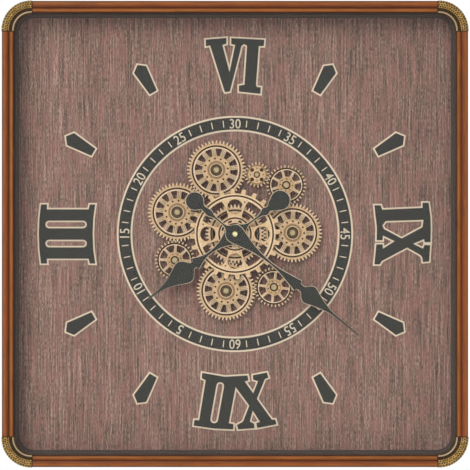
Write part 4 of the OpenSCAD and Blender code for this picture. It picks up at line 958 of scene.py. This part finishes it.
glass, tree, shader = start_material("clear glass", Base_Color=(1, 1, 1, 1), Roughness=0.0,
                                     IOR=1.22, Transmission_Weight=1.0)
rays = add(tree, "ShaderNodeLightPath").outputs
clear_for = math_node(tree, "MAXIMUM", rays["Is Shadow Ray"], rays["Is Diffuse Ray"])
clear = add(tree, "ShaderNodeBsdfTransparent", {"Color": (0.97, 0.985, 0.98, 1)})
glass_mix = add(tree, "ShaderNodeMixShader", {0: clear_for, 1: shader.outputs[0],
                                              2: clear.outputs[0]})
tree.links.new(glass_mix.outputs[0], tree.nodes["Material Output"].inputs["Surface"])
smudges = spread(tree, noise_over(tree, places(tree)["Object"], SMUDGE_SCALE, 3.0),
                 *SMUDGE_SPAN, 0.0, SMUDGE_ROUGHNESS)
feed(tree, shader, Roughness=smudges)
paint(glass, "front_glass")
print("glass on front_glass")

# %% [markdown]
# ## The wheels
#
# The wheels are cut from pale board with burnt dots and lines, and their shading is painted into
# the colour: painted shade in the dark grooves, in the brown ring round the hub, in the dark recess
# of the axle and at the roots of the teeth, and painted highlights in the pale lines beside the
# grooves and on a pale ring of the hub. Nearly all of it depends only on the distance from the
# wheel's own axle, so each kind of wheel gets a colour ramp over its radius, like the one of the
# moulding. The lines on the spokes and the dots also need the direction, and the group below gives
# that.

# %% The colours over the radius, with painted shade and highlights
# Each ramp holds the board's colour with painted shade in the grooves, round the hub, in the axle's
# recess and at the tooth roots, and painted highlights beside the grooves and on a ring of the hub.
LARGE_WHEEL = [
    (0.0, (84, 65, 38)), (6.2, (100, 80, 51)), (6.9, (55, 39, 18)), (7.5, (87, 63, 34)),
    (7.9, (228, 200, 168)), (8.7, (216, 184, 148)), (9.3, (146, 112, 80)), (10.2, (168, 134, 98)),
    (10.9, (146, 112, 80)), (11.5, (196, 160, 122)), (12.6, (220, 184, 144)),
    (15.0, (221, 184, 144)), (18.5, (201, 171, 130)), (23.0, (207, 179, 150)),
    (27.4, (222, 190, 158)), (28.5, (240, 210, 178)), (29.2, (244, 214, 180)),
    (29.75, (236, 204, 168)), (30.1, (66, 42, 17)), (31.9, (66, 42, 17)), (32.35, (230, 196, 163)),
    (33.4, (219, 183, 142)), (34.6, (214, 176, 132)), (35.6, (236, 202, 164)),
    (38.6, (250, 220, 188))]
MEDIUM_WHEEL = [
    (0.0, (89, 65, 34)), (4.4, (70, 48, 20)), (5.4, (70, 48, 20)), (5.9, (221, 184, 143)),
    (6.8, (213, 175, 131)), (8.6, (207, 167, 125)), (9.05, (153, 117, 78)), (9.6, (215, 180, 142)),
    (11.0, (211, 180, 144)), (18.6, (219, 189, 161)), (19.7, (240, 211, 180)),
    (20.6, (238, 208, 174)), (20.95, (66, 42, 17)), (22.6, (66, 42, 17)), (23.0, (227, 193, 159)),
    (23.6, (222, 186, 146)), (26.1, (250, 220, 188))]
PINION_WHEEL = [
    (0.0, (81, 59, 29)), (3.9, (70, 48, 20)), (4.4, (219, 183, 142)), (6.0, (221, 186, 147)),
    (11.3, (215, 179, 137)), (11.7, (156, 120, 82)), (12.6, (156, 120, 82)),
    (13.1, (219, 183, 142)), (13.8, (226, 190, 150)), (16.7, (246, 214, 180))]
CENTRE_WHEEL = [
    (0.0, (132, 99, 64)), (16.0, (132, 99, 64)), (16.6, (196, 158, 116)), (23.6, (216, 180, 142)),
    (24.4, (192, 154, 112)), (29.4, (226, 192, 158)), (30.1, (66, 41, 17)), (31.9, (66, 41, 17)),
    (32.4, (236, 202, 166)), (34.0, (226, 190, 152)), (35.4, (238, 206, 172)),
    (38.6, (246, 214, 184))]
# The crown's dark rings are painted shade in its grooves with painted highlights beside them, and
# its hub is darkened as painted shade.
CROWN = [
    (0.0, (196, 156, 112)), (12.1, (216, 178, 136)), (12.5, (70, 42, 16)), (14.1, (70, 42, 16)),
    (14.5, (246, 214, 180)), (16.0, (240, 204, 166)), (19.4, (246, 212, 174)),
    (19.8, (70, 42, 16)), (21.5, (70, 42, 16)), (22.0, (248, 214, 178)), (24.0, (236, 200, 158)),
    (34.0, (232, 195, 152)), (46.4, (238, 204, 162)), (47.2, (252, 222, 188)),
    (48.1, (252, 222, 188)), (48.5, (76, 44, 16)), (50.3, (76, 44, 16)), (50.7, (248, 216, 176)),
    (52.0, (242, 208, 166)), (53.5, (228, 190, 148)), (58.7, (242, 208, 168))]
# This brown is the burnt mark of dots, lines and slots, and painted shade between the teeth.
BURN_AND_SHADE_BROWN = rgb(50, 30, 14)
for stops in (LARGE_WHEEL, MEDIUM_WHEEL, PINION_WHEEL, CENTRE_WHEEL, CROWN):
    print(len(stops), "burnt colours out to", stops[-1][0], "mm")

# %% [markdown]
# The group measures a point from a wheel's axle: its radius, and how far it lies beside the
# nearest of a number of evenly spaced spokes. From these two it also gives a mask of dots, one on
# each spoke.

# %% The group that measures from an axle
DOT_SOFT = 0.0003

axle_group, axle_in, axle_out = start_group(
    "measured from an axle",
    [("Vector", "Vector", None), ("Centre", "Vector", (0, 0, 0)), ("Spokes", "Float", 12.0),
     ("First Spoke", "Float", 0.0), ("Dot Radius", "Float", 0.015), ("Dot Size", "Float", 0.0008)],
    [("Radius", "Float"), ("Beside Spoke", "Float"), ("Dots", "Float")])
at = axle_group


def distance(a, b):
    """How far a point lies from an axle or a dot, from its two parts."""
    return math_node(at, "SQRT", plus(at, times(at, a, a), times(at, b, b)))


local = parts_of(at, vector_node(at, "SUBTRACT", axle_in["Vector"], axle_in["Centre"]))
radius = distance(local["X"], local["Z"])
direction = math_node(at, "ARCTAN2", local["Z"], local["X"])
apart = math_node(at, "DIVIDE", math.tau, axle_in["Spokes"])
turns = math_node(at, "DIVIDE", minus(at, direction, axle_in["First Spoke"]), apart)
share = minus(at, math_node(at, "FRACT", plus(at, turns, 0.5)), 0.5)
beside = math_node(at, "ABSOLUTE", times(at, times(at, share, apart), radius))
from_dot = distance(minus(at, radius, axle_in["Dot Radius"]), beside)
at.links.new(radius, axle_out["Radius"])
at.links.new(beside, axle_out["Beside Spoke"])
at.links.new(band(at, from_dot, 0.0, axle_in["Dot Size"], DOT_SOFT), axle_out["Dots"])


def from_axle(tree, centre, spokes=1, first_spoke=0.0, dot_ring=0.0, dot_size=0.0):
    """The group placed for one ring of spokes, teeth, slots or dots."""
    return place_group(tree, axle_group, {
        "Vector": places(tree)["Object"], "Centre": centre, "Spokes": float(spokes),
        "First Spoke": first_spoke, "Dot Radius": dot_ring, "Dot Size": dot_size})


print("measured from an axle:", len(at.nodes), "nodes")

# %% [markdown]
# A wheel's spokes stand in the direction of its teeth, and its teeth in the gaps of the wheel that
# drives it. So the directions follow from wheel to wheel, as they do in the real train.

# %% Directions of the wheels
MESHES_WITH = {"wheel_left": "centre_wheel", "wheel_lower_left": "wheel_left",
               "pinion_wheel": "wheel_lower_left", "drive_wheel": "pinion_wheel",
               "wheel_right": "drive_wheel", "wheel_upper_right": "wheel_right",
               "wheel_top": "centre_wheel", "wheel_upper_left": "wheel_top"}


def first_tooth(name):
    """Direction of a wheel's first tooth, from the wheel that it meshes with."""
    if name not in MESHES_WITH:
        return 0.0
    other = MESHES_WITH[name]
    between = wheel_axes[name] - wheel_axes[other]
    toward = math.atan2(between.z, between.x)
    return (toward + math.pi - TEETH[other] / TEETH[name] * (first_tooth(other) - toward)
            - math.pi / TEETH[name])


for name in TEETH:
    print(name, "first tooth at", round(math.degrees(first_tooth(name)) % 360, 1), "degrees")

# %% [markdown]
# The cut edges are scorched, deeply between the teeth, and there the scorch also shows as a thin
# dark line on the flat face, which is also painted shade that makes the gaps look deeper. That line
# follows the same sizes as the teeth: their number and direction, their half width at some radius,
# how fast they narrow, and the radius of their roots.

# %% The scorch and painted shade between the teeth
TOOTH_SCORCH_AND_SHADE = 0.85
FLANK_LINE = (-0.0001, 0.00015)
ROOT_LINE = (0.0011, 0.0007)


def between_teeth(tree, centre, number, first, at_radius, half_width, narrowing, root):
    """A mask of the rim between the teeth and a hair of their flanks."""
    tooth = from_axle(tree, centre, number, first)
    beyond = minus(tree, tooth["Radius"], at_radius)
    half = minus(tree, half_width, times(tree, beyond, narrowing))
    flank = spread(tree, minus(tree, half, tooth["Beside Spoke"]), *FLANK_LINE, 1.0, 0.0)
    past_root = spread(tree, tooth["Radius"], root - ROOT_LINE[0], root - ROOT_LINE[1])
    return times(tree, times(tree, flank, past_root), TOOTH_SCORCH_AND_SHADE)


print("the scorch reaches", FLANK_LINE[1] * 1000, "mm into a flank")

# %% [markdown]
# The board itself is plain, with a short speckled grain that leans to olive in places. Its grain is
# near 1 all over, so that it only lightens and darkens the ramp's colours with their painted shade
# and highlights. Dots, burnt lines and the scorch and painted shade between the teeth follow in
# that order, and the cut edges come last, told by the direction of the surface.

# %% A wheel's material
EDGE_TURN = 1.4
EDGE_BURN = 0.95
SCORCH, DEEP_SCORCH = rgb(104, 78, 52), rgb(54, 34, 18)
DEEP_FROM_ROOT = 0.003
BOARD_ROUGHNESS = 0.66
GRAIN_GLOSS = 0.15


def wheel_wood(name, centre, dots, stops, teeth, lines=None, line_depth=0.0):
    """dots and teeth are what from_axle and between_teeth take after the centre."""
    material, tree, shader = start_material(name, Specular_IOR_Level=0.2)
    where = places(tree)
    grain = place_group(tree, grain_group, {
        "Vector": where["Object"], "Band Scale": 60.0, "Streak Scale": 420.0, "Fleck Scale": 800.0,
        "Stretch": 0.6, "Fleck Stretch": 0.8, "Fleck Share": 0.45, "Light": (1.18, 1.14, 1.08, 1),
        "Middle": (0.98, 0.97, 0.96, 1), "Dark": (0.68, 0.63, 0.56, 1),
        "Tint": (0.93, 0.95, 0.84, 1), "Tint Share": 0.25})
    measured = from_axle(tree, centre, *dots)
    colour = ramp_over(tree, measured["Radius"], stops)
    colour = mix_colour(tree, 1.0, colour, grain["Color"], "MULTIPLY")
    burnt_lines = lines(tree, measured) if lines else 0.0
    flat = math_node(tree, "ABSOLUTE", parts_of(tree, where["Normal"])["Y"])
    edge = minus(tree, 1.0, times(tree, flat, EDGE_TURN), clamp=True)
    at_teeth = above(tree, measured["Radius"], teeth[-1] - DEEP_FROM_ROOT)
    scorched = mix_colour(tree, at_teeth, SCORCH, DEEP_SCORCH)
    # The mask between the teeth lays scorch together with painted shade that deepens the gaps.
    colour = layered(tree, colour, (measured["Dots"], BURN_AND_SHADE_BROWN), (burnt_lines, BURN_AND_SHADE_BROWN),
                     (between_teeth(tree, centre, *teeth), BURN_AND_SHADE_BROWN),
                     (times(tree, edge, EDGE_BURN), scorched))
    roughness = minus(tree, BOARD_ROUGHNESS, times(tree, grain["Height"], GRAIN_GLOSS))
    height = minus(tree, grain["Height"], times(tree, burnt_lines, line_depth))
    dress(tree, shader, colour, roughness, height, strength=0.15)
    return material


print("wheel material ready")

# %% [markdown]
# The large wheels have twelve spokes with a dot and two burnt lines on each, the medium ones eight
# spokes with dots between them, and the pinion four holes with dots between them.

# %% The wheels' materials
TOOTH_SIZE = 0.00156
TOOTH_HALF_WIDTH = 0.000775
TOOTH_NARROWING = 0.35
ROOT_DEPTH = 1.45 * TOOTH_SIZE
LINE_BESIDE = dict(middle=0.0011, half_width=0.00022, soft=0.00025)
LINE_ALONG = dict(middle=0.0235, half_width=0.0049, soft=0.0004)
LINE_BURN = 0.55


def spoke_lines(tree, measured):
    """Two burnt lines along each spoke, one on each side of its middle."""
    beside_line = band(tree, measured["Beside Spoke"], **LINE_BESIDE)
    within = band(tree, measured["Radius"], **LINE_ALONG)
    return times(tree, times(tree, beside_line, within), LINE_BURN)


def wheel_kind(name, toward):
    """The dots as (number, direction, ring, size), the shaded colours, the lines, their depth."""
    if name == "centre_wheel":
        return (6, 0.0, 0.022, 0.0), CENTRE_WHEEL, None, 0.0
    return {48: ((12, toward, 0.015, 0.0011), LARGE_WHEEL, spoke_lines, 3.0),
            32: ((8, toward + math.pi / 8, 0.0075, 0.0006), MEDIUM_WHEEL, None, 0.0),
            20: ((4, 0.0, 0.0082, 0.0006), PINION_WHEEL, None, 0.0)}[TEETH[name]]


for name, centre in wheel_axes.items():
    toward = first_tooth(name)
    pitch = TEETH[name] * TOOTH_SIZE / 2
    dots, stops, lines, line_depth = wheel_kind(name, toward)
    teeth = (TEETH[name], toward, pitch, TOOTH_HALF_WIDTH, TOOTH_NARROWING, pitch - ROOT_DEPTH)
    paint(wheel_wood("wood of " + name, centre, dots, stops, teeth, lines, line_depth), name)
print("wheels burnt in")

# %% [markdown]
# The crown in front of the centre wheel has the same board and three dark rings in its grooves,
# painted shade with painted highlights beside them: one inside the teeth and two on the hub. Its
# pips lie beside its four arms, and eight short slots between the two rings of the hub are burnt
# dark.

# %% The crown
CROWN_ROOT = 0.0535
CROWN_TEETH = (24, math.radians(3.2), CROWN_ROOT, 0.0031, 0.135, CROWN_ROOT)
PIPS = (4, math.radians(-17), 0.0432, 0.0008)
SLOT_RING = dict(middle=0.0171, half_width=0.0011, soft=0.0003)
SLOT_LENGTH = dict(middle=0.0, half_width=0.0024, soft=0.0003)
crown_axis = node_centre("centre_crown")


def hub_slots(tree, measured):
    """Eight short slots between the rings of the hub."""
    slots = from_axle(tree, crown_axis, 8, math.pi / 8)
    return times(tree, band(tree, measured["Radius"], **SLOT_RING),
                 band(tree, slots["Beside Spoke"], **SLOT_LENGTH))


paint(wheel_wood("crown wood", crown_axis, PIPS, CROWN, CROWN_TEETH, hub_slots), "centre_crown")
print("crown done")

# %% [markdown]
# ## Metal parts
#
# The axle heads are turned steel with a warm tint, the spacers, nuts and the sleeve are brass.
# The rings that turning leaves are too fine to see at this size, so small clouds and specks in
# colour and gloss stand for them.

# %% Turned and plated metal
paint_parts([
    ("turned steel", (180, 160, 122),
     dict(roughness=0.42, clouds=300.0, specks=2500.0, Metallic=0.5),
     ["wheel_axles", "drive_arbor"]),
    ("machined brass", (212, 178, 104),
     dict(roughness=0.3, clouds=200.0, specks=2500.0, Metallic=1.0),
     ["wheel_spacers", "axle_nuts", "centre_sleeve", "movement_collar", "movement_nut",
      "minute_arbor", "wood_screws"]),
    ("pale brass", (232, 226, 172),
     dict(roughness=0.28, contrast=0.05, clouds=300.0, specks=2500.0, bump=0.05, Metallic=0.8),
     ["hand_nut"]),
    ("zinc plate", (186, 188, 188),
     dict(roughness=0.38, contrast=0.14, clouds=120.0, specks=1800.0, bump=0.12, Metallic=1.0),
     ["hanger_plate", "battery_contacts", "gear_motor"])])

# %% [markdown]
# ## The hands
#
# Each hand is a dark blade on a slightly wider pale one, so it has a thin cream rim. In the solids
# the two layers lie one behind the other, and the material tells them apart by their distance from
# the wall. Towards the thin tip the rim is toned down, because there it would cover the whole hand.

# %% The hands' two layers
BLADE_THICKNESS = 0.0005
TONED_OVER = 0.03
TONED_SHARE = 0.8
BLADE, PALE_RIM, TONED_RIM = rgb(56, 56, 52), rgb(222, 200, 172), rgb(84, 78, 68)


def paint_hand(name, node_name, toned_from):
    """Paints a hand. toned_from is the distance from the axis at which its rim begins to fade."""
    material, tree, shader = start_material(name, Specular_IOR_Level=0.12)
    behind = above(tree, parts_of(tree, places(tree)["Object"])["Y"],
                   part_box(node_name)[0].y + BLADE_THICKNESS)
    dark = blotches(tree, BLADE, roughness=0.55, gloss_spread=0.05, contrast=0.035, clouds=90.0,
                    specks=700.0)
    radius = from_axle(tree, on_dial(0, 0, 0))["Radius"]
    toned = spread(tree, radius, toned_from, toned_from + TONED_OVER, 0.0, TONED_SHARE)
    rim = mix_colour(tree, toned, PALE_RIM, TONED_RIM)
    dress(tree, shader, mix_colour(tree, behind, dark["Color"], rim), dark["Roughness"],
          dark["Height"], strength=0.03, distance=FINE_BUMP)
    paint(material, node_name)


paint_hand("hour hand paint", "hour_hand", 0.085)
paint_hand("minute hand paint", "minute_hand", 0.145)
print("hands painted")

# %% [markdown]
# ## Behind the dial
#
# Nobody sees this side on the wall, but it is part of the clock: a softwood batten and braces,
# black plastic cases, white nylon wheels, a green circuit board, copper windings and the cells.

# %% Timber
timber, tree, shader = start_material("sawn softwood", Specular_IOR_Level=0.25)
grain = place_group(tree, grain_group, {
    "Vector": along_grain(tree, level=True), "Band Scale": 45.0, "Streak Scale": 300.0,
    "Fleck Scale": 600.0, "Stretch": 0.05, "Fleck Stretch": 0.15, "Fleck Share": 0.2,
    "Light": rgb(226, 196, 148), "Middle": rgb(206, 170, 120), "Dark": rgb(160, 118, 72),
    "Tint": rgb(214, 170, 104), "Tint Share": 0.3})
dress_wood(tree, shader, grain["Color"], grain["Height"], roughness=0.8, smoother=0.15,
           strength=0.3, distance=0.0003)
paint(timber, "hanger_batten", "corner_braces")
print("timber on the batten and the braces")

# %% Rubber, plastic, copper and the circuit board
paint_parts([
    ("black rubber", (46, 46, 46),
     dict(roughness=0.85, contrast=0.1, bump=0.2, Specular_IOR_Level=0.3), ["wall_bumpers"]),
    ("black case plastic", (44, 44, 46),
     dict(contrast=0.06, clouds=60.0, specks=2600.0, bump=0.3, Specular_IOR_Level=0.4),
     ["movement_case", "movement_cover", "drive_case", "drive_cover"]),
    ("natural nylon", (226, 220, 202),
     dict(roughness=0.4, contrast=0.04, bump=0.05, Subsurface_Weight=0.1),
     ["hour_wheel", "motion_wheel"]),
    ("red plastic", (176, 40, 32), dict(roughness=0.38, contrast=0.05, bump=0.05), ["set_knob"]),
    ("light grey plastic", (206, 206, 202), dict(roughness=0.45, contrast=0.04, bump=0.08),
     ["switch_slider"]),
    ("copper winding", (190, 112, 62), dict(roughness=0.35, contrast=0.1, bump=0.3, Metallic=1.0),
     ["step_motor"]),
    ("circuit board", (32, 104, 62), dict(roughness=0.35, contrast=0.1), ["movement_board"])])

# %% [markdown]
# A battery cell is a steel can in a printed jacket: mostly one colour, with a band of another at
# the positive end and bare metal at both ends. The band depends on the place along the cell, which
# is measured from the clock's middle line for the movement's cell, and from the drive wheel's axle
# for the drive's cells below it.

# %% The battery cells
BAND_FROM = 0.0125
END_FACES = 0.9
BARE_METALLIC = 0.9

jacket, tree, shader = start_material("cell jacket")
where = places(tree)
place = parts_of(tree, where["Object"])
printed = blotches(tree, rgb(34, 60, 104), roughness=0.32, gloss_spread=0.06, contrast=0.05,
                   clouds=60.0)
in_drive = math_node(tree, "LESS_THAN", place["Z"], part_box("movement_case")[0].z)
along = minus(tree, place["X"], times(tree, in_drive, wheel_axes["drive_wheel"].x))
sideways = math_node(tree, "ABSOLUTE", parts_of(tree, where["Normal"])["X"])
bare = above(tree, sideways, END_FACES)
colour = layered(tree, printed["Color"], (above(tree, along, BAND_FROM), rgb(198, 128, 78)),
                 (bare, rgb(200, 200, 196)))
feed(tree, shader, Base_Color=colour, Metallic=times(tree, bare, BARE_METALLIC),
     Roughness=printed["Roughness"])
paint(jacket, "battery_cells")
print("cells painted")

# %% [markdown]
# ## Sizes
#
# The box of the solids, as it was before anything was dressed, is printed at the end.

# %% The box of the solids
print("solids ", [round(v, 4) for corner in solid_box for v in corner])
